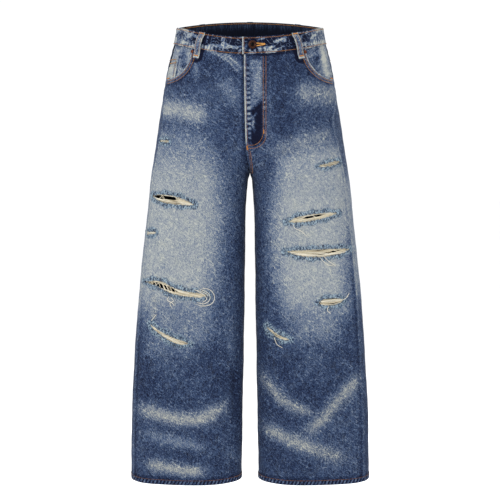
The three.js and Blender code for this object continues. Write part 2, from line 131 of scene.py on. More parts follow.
# Creases: face, the x and z of the points on the middle line, half width, height (a trough is
# negative). Each runs out softly at both ends.
CREASES = [
    (FRONT, [(-10, -322), (-62, -290), (-128, -262)], 15, -2.6),
    (FRONT, [(-12, -300), (-60, -262), (-120, -228), (-190, -205)], 17, 2.4),
    (FRONT, [(-205, -176), (-150, -188), (-95, -206)], 16, 2.2),
    (FRONT, [(-200, -222), (-140, -232), (-70, -262)], 14, -2.0),
    (FRONT, [(10, -322), (70, -292), (140, -274)], 15, -2.6),
    (FRONT, [(40, -290), (100, -276), (185, -256)], 14, 2.4),
    (FRONT, [(60, -160), (120, -148), (195, -150)], 18, 2.0),
    (FRONT, [(70, -190), (130, -182), (196, -190)], 15, -1.8),
    (FRONT, [(-110, -58), (-59, -66), (-16, -110)], 8, 1.2),
    (FRONT, [(44, -74), (47, -150), (44, -220)], 7, 0.9),
    (FRONT, [(-246, -700), (-180, -742), (-110, -748)], 22, -3.0),
    (FRONT, [(-250, -868), (-190, -893), (-138, -901), (-90, -890), (-50, -862)], 17, 3.2),
    (FRONT, [(-250, -908), (-190, -930), (-130, -936), (-80, -922)], 15, -3.0),
    (FRONT, [(-244, -946), (-201, -958), (-152, -965), (-105, -962)], 14, 2.6),
    (FRONT, [(-236, -985), (-180, -992), (-110, -990)], 13, -2.2),
    (FRONT, [(-240, -1004), (-190, -1016), (-110, -1018)], 15, 2.0),
    (FRONT, [(-34, -760), (-36, -850), (-30, -940)], 13, -3.2),
    (FRONT, [(-224, -596), (-219, -640), (-222, -690)], 9, -2.0),
    (FRONT, [(14, -784), (58, -840), (150, -897)], 17, 3.2),
    (FRONT, [(18, -832), (66, -880), (120, -905)], 15, -2.6),
    (FRONT, [(250, -806), (185, -859), (110, -938)], 17, 3.4),
    (FRONT, [(252, -855), (200, -898), (140, -950)], 15, -2.8),
    (FRONT, [(26, -916), (116, -967), (220, -1018)], 16, 2.8),
    (FRONT, [(60, -985), (130, -1012), (190, -1040)], 13, -2.0),
    (FRONT, [(250, -660), (190, -704), (110, -742)], 24, -2.8),
    (BACK, [(18, -334), (80, -352), (150, -340), (205, -318)], 17, -4.5),
    (BACK, [(-18, -334), (-80, -350), (-150, -342), (-205, -322)], 17, -4.5),
    (BACK, [(26, -366), (90, -384), (170, -372)], 17, 3.0),
    (BACK, [(-26, -366), (-90, -386), (-170, -370)], 17, 3.0),
    (BACK, [(24, -402), (100, -424), (190, -410)], 15, -2.4),
    (BACK, [(-24, -404), (-100, -420), (-190, -414)], 15, -2.4),
    (BACK, [(32, -640), (110, -672), (230, -650)], 17, 3.2),
    (BACK, [(-32, -646), (-120, -674), (-232, -644)], 17, 3.2),
    (BACK, [(28, -686), (120, -712), (236, -684)], 16, -3.4),
    (BACK, [(-28, -690), (-110, -716), (-238, -690)], 16, -3.4),
    (BACK, [(30, -724), (130, -752), (240, -722)], 17, 3.2),
    (BACK, [(-30, -730), (-130, -750), (-240, -728)], 17, 3.2),
    (BACK, [(40, -850), (120, -905), (230, -880)], 18, 3.0),
    (BACK, [(-40, -860), (-130, -902), (-232, -870)], 18, 3.0),
    (BACK, [(44, -930), (130, -965), (236, -940)], 16, -2.6),
    (BACK, [(-44, -934), (-130, -970), (-236, -936)], 16, -2.6),
]


def smooth(t):
    """0 up to t = 0, 1 from t = 1, with a soft step between."""
    t = np.clip(t, 0, 1)
    return t * t * (3 - 2 * t)


def bump(t):
    """1 at t = 0, falling as a half cosine to 0 at t = 1."""
    return 0.5 * (1 + np.cos(math.pi * np.clip(np.abs(t), 0, 1)))


def peak(value, middle, width, power=2):
    """1 at the middle, falling away as a bell of some half width."""
    return np.exp(-(((value - middle) / width) ** power))


def along(pairs, h):
    """A smooth curve through (height, size) pairs."""
    heights, sizes = np.asarray(pairs, float).T
    last = len(heights) - 1
    low = np.maximum(np.arange(last + 1) - 1, 0)
    high = np.minimum(np.arange(last + 1) + 1, last)
    slope = (sizes[high] - sizes[low]) / (heights[high] - heights[low])
    h = np.asarray(h, float)
    i = np.clip(np.searchsorted(heights, h, side="left") - 1, 0, last - 1)
    run = heights[i + 1] - heights[i]
    t = np.clip((h - heights[i]) / run, 0, 1)
    u = 1 - t
    ends = sizes[i] * (1 + 2 * t) * u * u + sizes[i + 1] * t * t * (3 - 2 * t)
    return ends + run * t * u * (slope[i] * u - slope[i + 1] * t)


def section(h):
    """Centre and reach of the half section: the leg, or above it its half of the hips."""
    outer = along(HALF_WIDTH, h)
    merged = np.clip((CROTCH - h) / LEG_MERGE, 0, 1)
    inner = np.where(h < CROTCH, INSEAM_REACH[0][1] - outer * merged**1.5, along(INSEAM_REACH, h))
    full = merged == 1
    return np.where(full, 0, (outer + inner) / 2), np.where(full, outer, (outer - inner) / 2)


def waist_tilt(h):
    """The share of the waist's dip and rise that a height has."""
    return 1 - smooth((h - 45) / 255)


def body_point(side, angle, h):
    """A point of the body form, which the outer face of the panels follows."""
    centre, reach = section(h)
    sine = np.sin(angle)
    in_front = sine >= 0
    square = SQUARENESS * smooth((h - 60) / 300)
    depth = np.where(in_front, along(FRONT_DEPTH, h), along(BACK_DEPTH, h))
    local = centre + reach * np.cos(angle)
    fly_shift = along(FLY_SHIFT, np.minimum(h, CROTCH)) * (1 - smooth(np.abs(local) / FLY_SHIFT_REACH))
    dip = np.where(in_front, FRONT_DIP * sine**2, -BACK_RISE * np.abs(sine) ** 1.5)
    tilt = dip * waist_tilt(h)
    tilt = tilt + np.where(in_front, HEM_DIP * sine * smooth((h - 800) / 250), 0)
    x = side * local - np.where(in_front, fly_shift, 0)
    y = -depth * (sine + square * np.sin(3 * angle)) / (1 - square)
    return np.stack(np.broadcast_arrays(x, y, -h - tilt), -1)


def unit(vectors):
    return vectors / np.maximum(np.linalg.norm(vectors, axis=-1, keepdims=True), 1e-9)


def body_normal(side, angle, h):
    """The way out of the body form."""
    round_it = body_point(side, angle + 1e-3, h) - body_point(side, angle - 1e-3, h)
    down = body_point(side, angle, h + 0.1) - body_point(side, angle, h - 0.1)
    return unit(np.cross(round_it, down) * np.asarray(side)[..., None])


def speed(side, angle, h):
    """Millimetres round the form for each radian."""
    return np.linalg.norm(body_point(side, angle + 1e-3, h) - body_point(side, angle, h), axis=-1) / 1e-3


def side_seam(side, h):
    """The angle of the outseam at a height."""
    return math.radians(SIDE_SEAM_ANGLE[side]) * smooth((h - 125) / 100)


def inner_angle(h, depth):
    """Where a panel ends: on the centre plane above the crotch, at the inseam below it."""
    centre, reach = section(h)
    to_centre = np.arccos(np.clip((SEAM_GAP / 2 - centre) / reach, -1, 1))
    return np.minimum(to_centre, math.pi - SEAM_GAP / 2 / depth)


def angle_at_x(side, face, x, h):
    """The angle on the front or the back where the form has a given x."""
    x, h = np.broadcast_arrays(np.asarray(x, float), np.asarray(h, float))
    low = np.zeros(x.shape)
    high = np.full(x.shape, math.pi)
    for _ in range(32):
        middle = (low + high) / 2
        outside = side * (body_point(side, face * middle, h)[..., 0] - x) > 0
        low = np.where(outside, middle, low)
        high = np.where(outside, high, middle)
    return face * (low + high) / 2


def find(side, face, x, z):
    """The angle and height of the points of the form that have a given x and z."""
    x, z = np.asarray(x, float), np.asarray(z, float)
    h = -z
    for _ in range(6):
        angle = angle_at_x(side, face, x, h)
        h = h + body_point(side, angle, h)[..., 2] - z
    return angle, h


def path_distance(path, x, z):
    """Each point's distance from a path in x and z, and how far along the path it is nearest."""
    path = np.asarray(path, float)
    steps = np.diff(path, axis=0)
    lengths = np.hypot(*steps.T)
    starts = np.concatenate([[0], np.cumsum(lengths)])
    best = np.full(x.shape, 1e9)
    share = np.zeros(x.shape)
    for (x0, z0), (dx, dz), length, start in zip(path, steps, lengths, starts):
        t = np.clip(((x - x0) * dx + (z - z0) * dz) / length**2, 0, 1)
        distance = np.hypot(x - x0 - t * dx, z - z0 - t * dz)
        nearer = distance < best
        best = np.where(nearer, distance, best)
        share = np.where(nearer, (start + t * length) / starts[-1], share)
    return best, share


def curve(points, steps=5):
    """A smooth path through points, as a Catmull-Rom spline."""
    p = np.asarray(points, float)
    p = np.vstack([2 * p[0] - p[1], p, 2 * p[-1] - p[-2]])
    t = (np.arange(steps) / steps)[:, None]
    spans = [
        0.5 * (2 * b + (c - a) * t + (2 * a - 5 * b + 4 * c - d) * t**2 + (3 * b - a - 3 * c + d) * t**3)
        for a, b, c, d in zip(p, p[1:], p[2:], p[3:])
    ]
    return np.vstack(spans + [p[-2:-1]])


def fold_height(side, angle, h):
    """How far the folds of the form lift the cloth."""
    total = np.zeros(np.broadcast(angle, h).shape)
    for fold_side, angle0, h0, angle1, h1, half_width, height in FOLDS:
        t = (h - h0) / (h1 - h0)
        off = (np.degrees(angle) - (angle0 + (angle1 - angle0) * t)) / half_width
        total += np.where((side == fold_side) & (t > 0), height * smooth(t / 0.3) * bump(off), 0)
    return total


def crease_height(face, x, z):
    """How far the creases lift the cloth."""
    total = np.zeros(x.shape)
    for crease_face, points, half_width, height in CREASES:
        path = curve(points)
        near = face == crease_face
        near &= (x > path[:, 0].min() - half_width) & (x < path[:, 0].max() + half_width)
        near &= (z > path[:, 1].min() - half_width) & (z < path[:, 1].max() + half_width)
        if near.any():
            distance, share = path_distance(path, x[near], z[near])
            total[near] += height * bump(distance / half_width) * smooth(4 * share) * smooth(4 - 4 * share)
    return total


def seam_height(side, angle, h):
    """The ridges and puckers along the outseam and the fly."""
    millimetres = speed(side, angle, h)
    seam = np.where(np.asarray(side) == LEFT, side_seam(LEFT, h), side_seam(RIGHT, h))
    from_seam = (angle - seam) * millimetres
    ripple = np.sin(h / 2.7 + 1.3 * np.sin(h / 31))
    total = (0.9 + 0.35 * ripple) * peak(from_seam, -2.5, 4)
    from_fly = (inner_angle(h, along(FRONT_DEPTH, h)) - angle) * millimetres
    on_fly = (np.sin(angle) > 0) & (h < CROTCH) & (h > BAND_DEPTH)
    flap = np.where(np.asarray(side) == LEFT, 1.0 * (1 - smooth((from_fly - 38) / 8)), 0)
    flap = flap * (1 - smooth((h - 262) / 20))
    puckers = 0.35 * np.sin(h / 2.3 + 1.6 * np.sin(h / 17)) * np.exp(-np.abs(from_fly) / 8)
    return (total + np.where(on_fly, flap + puckers, 0)) * smooth((h - BAND_DEPTH) / 12)


def unevenness(x, z):
    """The slight waviness of cloth that has been washed."""
    wide = 0.7 * np.sin(x / 23 + 1.7 * np.sin(z / 61)) * np.sin(z / 37 + x / 71)
    narrow = 0.3 * np.sin(x / 9.1 + z / 13) * np.sin(z / 11.3 - x / 17)
    return wide + narrow


def cloth(side, angle, h, lift=0.0):
    """Points of the cloth and their normals, with folds, creases and seams."""
    side, angle, h, lift = np.broadcast_arrays(side, angle, h, lift)
    base = body_point(side, angle, h)
    x, z = base[..., 0], base[..., 2]
    face = np.where(np.sin(angle) >= 0, FRONT, BACK)
    shape = (crease_height(face, x, z) + unevenness(x, z)) * smooth((h - 45) / 60)
    normal = body_normal(side, angle, h)
    height = lift + fold_height(side, angle, h) + seam_height(side, angle, h) + shape
    return base + normal * height[..., None], normal


# ---- Rips ----


class Rip:
    """A slit across a front panel between two tips. Its edges are (share, distance) pairs from the
    line between the tips, and strands is how many threads cross it. bare is the window that they
    leave open: its first and last share, its lowest and highest distance, and how far it climbs.
    rungs is how many threads cross that window aslant."""

    def __init__(self, side, start, end, upper, lower, strands, bare=None, rungs=0, border=9):
        self.side = side
        self.start = np.array(start, float)
        self.end = np.array(end, float)
        self.length = float(np.hypot(*(self.end - self.start)))
        self.way = (self.end - self.start) / self.length
        self.across = np.array([-self.way[1], self.way[0]])
        self.upper, self.lower = upper, lower
        self.strands, self.bare, self.rungs, self.border = strands, bare, rungs, border

    def local(self, x, z):
        """Share along the slit, and distance above it."""
        dx, dz = x - self.start[0], z - self.start[1]
        share = (dx * self.way[0] + dz * self.way[1]) / self.length
        return share, dx * self.across[0] + dz * self.across[1]

    def world(self, share, distance):
        """The x and z of a point given by its share and distance."""
        share, distance = np.broadcast_arrays(share, distance)
        return (
            self.start[0] + share * self.length * self.way[0] + distance * self.across[0],
            self.start[1] + share * self.length * self.way[1] + distance * self.across[1],
        )

    def edges(self, share):
        """The upper and lower edge, closing towards both tips."""
        closing = np.sqrt(np.clip(10 * np.minimum(share, 1 - share), 0, 1))
        upper, lower = along(self.upper, share), along(self.lower, share)
        middle = (upper + lower) / 2
        half = (upper - lower) / 2 * closing
        return middle + half, middle - half

    def outside(self, x, z):
        """Roughly how far a point is outside the slit: negative in it."""
        share, distance = self.local(x, z)
        upper, lower = self.edges(np.clip(share, 0.001, 0.999))
        torn = 0.8 * np.sin(share * self.length / 1.9) + 0.6 * np.sin(share * self.length / 0.83 + 1)
        beyond = np.maximum(-share, share - 1) * self.length
        over = np.maximum(distance - upper, lower - distance) - torn
        return np.where(beyond > 0, np.hypot(beyond, np.maximum(over, 0)), over)


RIPS = [
    Rip(RIGHT, (-207, -261), (-184, -263), [(0, 3.5), (1, 3.5)], [(0, -3), (1, -3)], 7, border=6),
    Rip(RIGHT, (-225, -387), (-127, -406), [(0, 3), (0.25, 9), (0.45, 11), (0.74, 8), (1, 2)],
        [(0, -3), (0.16, -8), (0.35, -10), (0.72, -7), (1, -3)], 20, bare=(0.03, 0.62, -5.5, 5.5, 5)),
    Rip(RIGHT, (-240, -474), (-215, -471), [(0, 4), (1, 3.5)], [(0, -4), (1, -3)], 8, border=8),
    Rip(RIGHT, (-244, -586), (-98, -615),
        [(0, 3), (0.2, 10), (0.31, 10), (0.42, 4), (0.6, 0), (0.82, 1), (1, 4)],
        [(0, -2), (0.2, -3), (0.34, -9), (0.5, -14), (0.81, -11), (1, -6)], 20,
        bare=(0.04, 0.54, -2.5, 9.5, -9), rungs=7),
    Rip(RIGHT, (-231, -683), (-139, -727), [(0, 2), (0.17, -3), (0.4, -4.5), (0.7, -3), (1, 0)],
        [(0, -4), (0.2, -10), (0.4, -14), (0.62, -16), (0.82, -13), (1, -4)], 13),
    Rip(LEFT, (155, -319), (206, -308), [(0, 3), (0.3, 3), (0.74, 4), (1, 2)],
        [(0, -3), (0.3, -5), (0.6, -6), (1, -3)], 10, border=7),
    Rip(LEFT, (85, -446), (201, -426), [(0, 2), (0.21, 8), (0.5, 8.5), (0.8, 6), (1, 2)],
        [(0, -2), (0.29, -7), (0.6, -7), (0.85, -4), (1, -2)], 17, bare=(0.28, 0.74, -1.5, 5.5, 0.5)),
    Rip(LEFT, (82, -513), (231, -509), [(0, 1), (0.3, 2), (0.6, 3), (1, 2)],
        [(0, -3), (0.15, -10), (0.35, -15.5), (0.6, -16), (0.85, -10), (1, -3)], 19,
        bare=(0.56, 0.86, -12.5, -6.5, 9)),
    Rip(LEFT, (158, -633), (215, -628), [(0, 3), (0.25, 8), (0.7, 8), (1, 3)],
        [(0, -3), (0.3, -8), (0.6, -9), (1, -3)], 12, border=9),
    Rip(LEFT, (39, -690), (92, -718), [(0, 2), (0.3, -1), (0.7, -1), (1, 2)],
        [(0, -3), (0.3, -8), (0.6, -10), (1, -4)], 9, border=9),
]


def rip_distance(side, x, z):
    """How far points are outside the nearest rip of a side, and the width of that rip's border."""
    distance = np.full(x.shape, 1e3)
    border = np.full(x.shape, 1.0)
    for rip in RIPS:
        if rip.side == side:
            outside = rip.outside(x, z)
            border = np.where(outside < distance, rip.border, border)
            distance = np.minimum(distance, outside)
    return distance, border


# ---- Wash: how faded the cloth is, from 0 (dark indigo) to 1 (nearly white) ----

# A patch is a closed outline with an edge as soft as its size; a stroke is a path with its size as
# half width. Each takes the cloth to its level, as far as its strength says.
WASH = [
    (FRONT, "patch", [(-300, -238), (-199, -252), (-130, -266), (-92, -296), (-72, -345), (-62, -430),
                      (-84, -590), (-105, -650), (-250, -652), (-262, -560), (-300, -500)], 40, 0.73, 1),
    (FRONT, "patch", [(-300, -350), (-150, -356), (-108, -480), (-128, -610), (-300, -625)], 30, 0.82, 0.75),
    (FRONT, "patch", [(-212, -630), (-98, -640), (-98, -712), (-150, -752), (-235, -748)], 34, 0.53, 0.9),
    (FRONT, "patch", [(-225, -720), (-160, -730), (-170, -790), (-225, -790)], 26, 0.30, 0.6),
    (FRONT, "stroke", [(-52, -672), (-46, -730), (-40, -790)], 12, 0.36, 0.7),
    (FRONT, "stroke", [(-222, -186), (-150, -194), (-92, -211)], 22, 0.72, 1),
    (FRONT, "patch", [(-215, -240), (-100, -250), (-76, -310), (-215, -310)], 24, 0.48, 0.7),
    (FRONT, "stroke", [(-128, -84), (-122, -104), (-126, -130)], 10, 0.42, 0.7),
    (FRONT, "stroke", [(-60, -122), (-46, -150), (-36, -180)], 19, 0.46, 0.8),
    (FRONT, "stroke", [(-112, -54), (-59, -64), (-14, -110)], 9, 0.46, 0.7),
    (FRONT, "stroke", [(-104, -58), (-62, -70), (-20, -114)], 1.6, 0.80, 0.8),
    (FRONT, "stroke", [(-88, -57), (-54, -68), (-14, -100)], 1.6, 0.80, 0.8),
    (FRONT, "stroke", [(-96, -60), (-80, -64), (-48, -84)], 1.6, 0.80, 0.8),
    (FRONT, "stroke", [(-132, -88), (-122, -98), (-118, -112)], 1.6, 0.50, 0.6),
    (FRONT, "stroke", [(-110, -92), (-98, -104), (-88, -118)], 1.6, 0.50, 0.6),
    (FRONT, "patch", [(0, -82), (27, -80), (27, -166), (6, -160)], 6, 0.56, 0.85),
    (FRONT, "patch", [(-8, -160), (18, -168), (10, -196), (-8, -190)], 5, 0.44, 0.8),
    (FRONT, "stroke", [(12, -84), (10, -108)], 6, 0.26, 0.7),
    (FRONT, "patch", [(-10, -200), (28, -172), (29, -262), (10, -274), (-8, -262)], 6, -0.08, 0.95),
    (FRONT, "stroke", [(-4, -198), (8, -214), (4, -232)], 2.5, 0.62, 0.8),
    (FRONT, "stroke", [(16, -196), (6, -216), (12, -246)], 2.5, 0.46, 0.8),
    (FRONT, "stroke", [(45, -72), (46, -150), (44, -220)], 2.2, 0.48, 0.6),
    (FRONT, "patch", [(42, -110), (96, -120), (104, -306), (52, -316)], 16, 0.10, 0.8),
    (FRONT, "stroke", [(100, -156), (150, -152), (212, -160)], 24, 0.56, 0.95),
    (FRONT, "stroke", [(40, -288), (116, -262), (200, -240)], 19, 0.56, 0.8),
    (FRONT, "patch", [(70, -300), (120, -280), (236, -262), (242, -400), (222, -520), (222, -650),
                      (150, -668), (84, -650), (56, -560), (50, -430)], 32, 0.74, 1),
    (FRONT, "patch", [(92, -390), (205, -385), (196, -600), (106, -612)], 30, 0.82, 0.85),
    (FRONT, "patch", [(92, -640), (212, -640), (196, -720), (104, -720)], 34, 0.55, 0.9),
    (FRONT, "patch", [(110, -730), (190, -730), (170, -810), (124, -810)], 26, 0.28, 0.7),
    (FRONT, "patch", [(52, -770), (96, -770), (96, -826), (76, -812)], 12, 0.08, 0.8),
    (FRONT, "patch", [(-225, -850), (-120, -850), (-120, -1040), (-230, -1040)], 26, 0.18, 0.5),
    (FRONT, "stroke", [(-276, -876), (-215, -894), (-174, -903), (-138, -905), (-103, -898), (-46, -866)],
     17, 0.70, 1),
    (FRONT, "stroke", [(-252, -938), (-200, -952), (-96, -974)], 14, 0.46, 0.9),
    (FRONT, "stroke", [(-250, -1010), (-190, -1020), (-140, -1027), (-98, -1028)], 14, 0.70, 1),
    (FRONT, "stroke", [(-60, -984), (-22, -1008)], 9, 0.36, 0.8),
    (FRONT, "stroke", [(-227, -606), (-220, -640), (-226, -684)], 7, 0.64, 0.6),
    (FRONT, "stroke", [(-34, -790), (-36, -850), (-32, -915)], 13, 0.04, 0.7),
    (FRONT, "stroke", [(10, -786), (54, -838), (93, -870), (154, -894)], 14, 0.58, 0.95),
    (FRONT, "stroke", [(266, -796), (215, -851), (185, -888), (152, -920), (122, -944)], 16, 0.64, 0.95),
    (FRONT, "stroke", [(8, -918), (70, -943), (123, -966), (190, -990), (240, -1008)], 17, 0.62, 1),
    (FRONT, "patch", [(200, -880), (262, -850), (268, -1030), (150, -1040)], 30, 0.30, 0.5),
    (FRONT, "stroke", [(2, -330), (10, -500), (14, -760), (18, -1060)], 24, 0.10, 0.7),
    (FRONT, "stroke", [(-2, -330), (-10, -500), (-14, -760), (-18, -1060)], 24, 0.10, 0.7),
    (FRONT, "stroke", [(-18, -60), (-17, -200), (-12, -300), (-6, -350)], 3, 0.0, 0.7),
    (BACK, "patch", [(25, -190), (170, -190), (180, -300), (40, -318)], 45, 0.46, 0.8),
    (BACK, "patch", [(-25, -190), (-170, -190), (-180, -300), (-40, -318)], 45, 0.46, 0.8),
    (BACK, "patch", [(80, -395), (330, -300), (330, -620), (90, -630)], 45, 0.64, 0.9),
    (BACK, "patch", [(-80, -395), (-330, -270), (-330, -660), (-90, -640)], 45, 0.68, 0.9),
    (BACK, "stroke", [(30, -366), (90, -384), (185, -372)], 15, 0.60, 0.9),
    (BACK, "stroke", [(-30, -366), (-90, -386), (-185, -370)], 15, 0.60, 0.9),
    (BACK, "stroke", [(36, -642), (110, -674), (235, -650)], 15, 0.74, 0.9),
    (BACK, "stroke", [(-36, -648), (-120, -676), (-236, -644)], 15, 0.74, 0.9),
    (BACK, "stroke", [(34, -726), (130, -754), (240, -722)], 15, 0.60, 0.9),
    (BACK, "stroke", [(-34, -732), (-130, -752), (-240, -728)], 15, 0.60, 0.9),
    (BACK, "stroke", [(44, -852), (120, -907), (234, -880)], 17, 0.54, 0.9),
    (BACK, "stroke", [(-44, -862), (-130, -904), (-236, -870)], 17, 0.54, 0.9),
    (BACK, "stroke", [(4, -330), (12, -560), (18, -1060)], 34, 0.06, 0.7),
    (BACK, "stroke", [(-4, -330), (-12, -560), (-18, -1060)], 34, 0.06, 0.7),
]


def inside_outline(points, x, z):
    """Whether points are inside a closed outline."""
    inside = np.zeros(x.shape, bool)
    for (x0, z0), (x1, z1) in zip(points, points[1:] + points[:1]):
        if z0 != z1:
            crosses = (z > min(z0, z1)) & (z <= max(z0, z1))
            inside ^= crosses & (x < x0 + (z - z0) * (x1 - x0) / (z1 - z0))
    return inside


def outline_distance(points, x, z):
    """Distance from a closed outline: positive inside it."""
    distance, _ = path_distance(points + points[:1], x, z)
    return np.where(inside_outline(points, x, z), distance, -distance)


def wash(face, x, z):
    """The level of the fade at points of the front or the back, and how brushed they are."""
    level = 0.22 - 0.06 * smooth((-z - 650) / 120) - 0.08 * smooth((z + 150) / 40) * (face == FRONT)
    level = level + 0.03 * np.sin(x / 31) * np.sin(z / 47)
    brushed = np.zeros(x.shape)
    for mark_face, kind, points, size, target, strength in WASH:
        if mark_face != face:
            continue
        if kind == "patch":
            weight = smooth(0.5 + outline_distance(points, x, z) / (2 * size))
        else:
            distance, share = path_distance(curve(points), x, z)
            ends = smooth(3.5 * share + 0.2) * smooth(3.7 - 3.5 * share)
            weight = np.exp(-((distance / size) ** 2) * 1.1) * ends
            if target > 0.5:
                brushed = np.maximum(brushed, weight * (0.45 + 0.55 * smooth((-z - 700) / 100)))
        level = level + (target - level) * weight * strength
    return level, brushed


# ---- Meshes ----

def make_object(name, vertices, faces, materials, slots=None, attributes=(), sharp=50):
    """A piece that rides on the garment's one body, from vertices in millimetres."""
    mesh = bpy.data.meshes.new(name)
    mesh.from_pydata((np.asarray(vertices) * MM).tolist(), [], faces)
    for material in materials:
        mesh.materials.append(material)
    if slots is not None:
        mesh.polygons.foreach_set("material_index", np.asarray(slots, np.int32))
    for key, values in attributes:
        vector = values.ndim == 2
        kind = "FLOAT_VECTOR" if vector else "FLOAT"
        data = mesh.attributes.new(key, kind, "POINT").data
        data.foreach_set("vector" if vector else "value", np.ascontiguousarray(values, np.float32).ravel())
    mesh.shade_smooth()
    mesh.set_sharp_from_angle(angle=math.radians(sharp))
    mesh.update()
    piece = bpy.data.objects.new(name, mesh)
    bpy.context.scene.collection.objects.link(piece)
    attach(piece, "root")
    return piece


def cut_cells(keep):
    """The polygons of a grid where keep > 0. Cells on the border are cut along keep = 0, at new
    points given as pairs of grid points and shares between them."""
    rows, columns = keep.shape
    index = np.arange(rows * columns).reshape(rows, columns)
    corners = [index[:-1, :-1], index[:-1, 1:], index[1:, 1:], index[1:, :-1]]
    cells = np.stack(corners, -1).reshape(-1, 4)
    value = keep.ravel()
    inside = value[cells] > 0
    whole = inside.all(1)
    polygons = cells[whole].tolist()
    crossings = {}
    for cell in cells[inside.any(1) & ~whole].tolist():
        polygon = []
        for a, b in zip(cell, cell[1:] + cell[:1]):
            if value[a] > 0:
                polygon.append(a)
            if (value[a] > 0) != (value[b] > 0):
                key = (min(a, b), max(a, b))
                polygon.append(crossings.setdefault(key, rows * columns + len(crossings)))
        if len(polygon) > 2:
            polygons.append(polygon)
    pairs = np.array(list(crossings), int).reshape(-1, 2)
    a, b = pairs.T
    share = np.clip(value[a] / (value[a] - value[b] + 1e-12), 0.04, 0.96)[:, None]
    return polygons, pairs, share


def shell_piece(name, outer, inner, values, materials, keep=None):
    """A closed thin wall between an outer and an inner grid. values has the weave's two
    coordinates, the fade, the fray and how brushed it is."""
    shape = outer.shape[:2]
    keep = np.ones(shape) if keep is None else keep
    polygons, pairs, share = cut_cells(keep)

    def table(grid):
        flat = grid.reshape(shape[0] * shape[1], -1)
        return np.vstack([flat, flat[pairs[:, 0]] * (1 - share) + flat[pairs[:, 1]] * share])

    used = np.unique(np.concatenate([np.asarray(p) for p in polygons]))
    place = np.zeros(shape[0] * shape[1] + len(pairs), int)
    place[used] = np.arange(len(used))
    polygons = [place[p].tolist() for p in polygons]
    out, into, data = table(outer)[used], table(inner)[used], table(values)[used]
    count = len(used)
    a, b, c = (out[k] for k in polygons[len(polygons) // 2][:3])
    middle = polygons[len(polygons) // 2][0]
    if np.dot(np.cross(b - a, c - b), out[middle] - into[middle]) < 0:
        polygons = [p[::-1] for p in polygons]
    edges = {}
    for polygon in polygons:
        for a, b in zip(polygon, polygon[1:] + polygon[:1]):
            edges[a, b] = True
    walls = [(b, a, a + count, b + count) for a, b in edges if (b, a) not in edges]
    backs = [[k + count for k in p[::-1]] for p in polygons]
    slots = [0] * len(polygons) + [len(materials) - 1] * len(backs) + [0] * len(walls)
    both = np.vstack([data, data])
    weave = np.column_stack([both[:, 0], both[:, 1], np.zeros(2 * count)])
    attributes = [("weave", weave), ("fade", both[:, 2]), ("fray", both[:, 3]), ("brushed", both[:, 4])]
    return make_object(name, np.vstack([out, into]), polygons + backs + walls, materials, slots, attributes)


def tubes(name, paths, normals, radii, material, tone, sides=5):
    """Round strands, all with the same number of points. tone is one number a strand."""
    paths = np.asarray(paths, float)
    count, length = paths.shape[:2]
    radii = np.broadcast_to(np.asarray(radii, float), (count, length))
    ways = unit(np.gradient(paths, axis=1))
    across = unit(np.cross(ways, normals))
    up = np.cross(across, ways)
    turn = 2 * math.pi * np.arange(sides) / sides
    ring = across[:, :, None] * np.cos(turn)[:, None] + up[:, :, None] * np.sin(turn)[:, None]
    vertices = paths[:, :, None] + ring * radii[:, :, None, None]
    index = np.arange(count * length * sides).reshape(count, length, sides)
    a, b = index[:, :-1], index[:, 1:]
    walls = np.stack([a, np.roll(a, -1, 2), np.roll(b, -1, 2), b], -1).reshape(-1, 4)
    caps = index[:, 0, ::-1].tolist() + index[:, -1].tolist()
    tones = np.repeat(np.asarray(tone, float), length * sides)
    faces = walls.tolist() + caps
    return make_object(name, vertices.reshape(-1, 3), faces, [material], None, [("tone", tones)], sharp=80)


# ---- Materials ----

# How much brighter than a white card's own white the studio lights the front of the garment.
STUDIO_LIGHT = 1.5


def colour(red, green, blue, light=STUDIO_LIGHT):
    """The colour of a surface that is seen in the studio as this colour of the screen."""
    screen = [c / 255 for c in (red, green, blue)]
    linear = [c / 12.92 if c <= 0.04 else ((c + 0.055) / 1.055) ** 2.4 for c in screen]
    return (*(c / light for c in linear), 1)


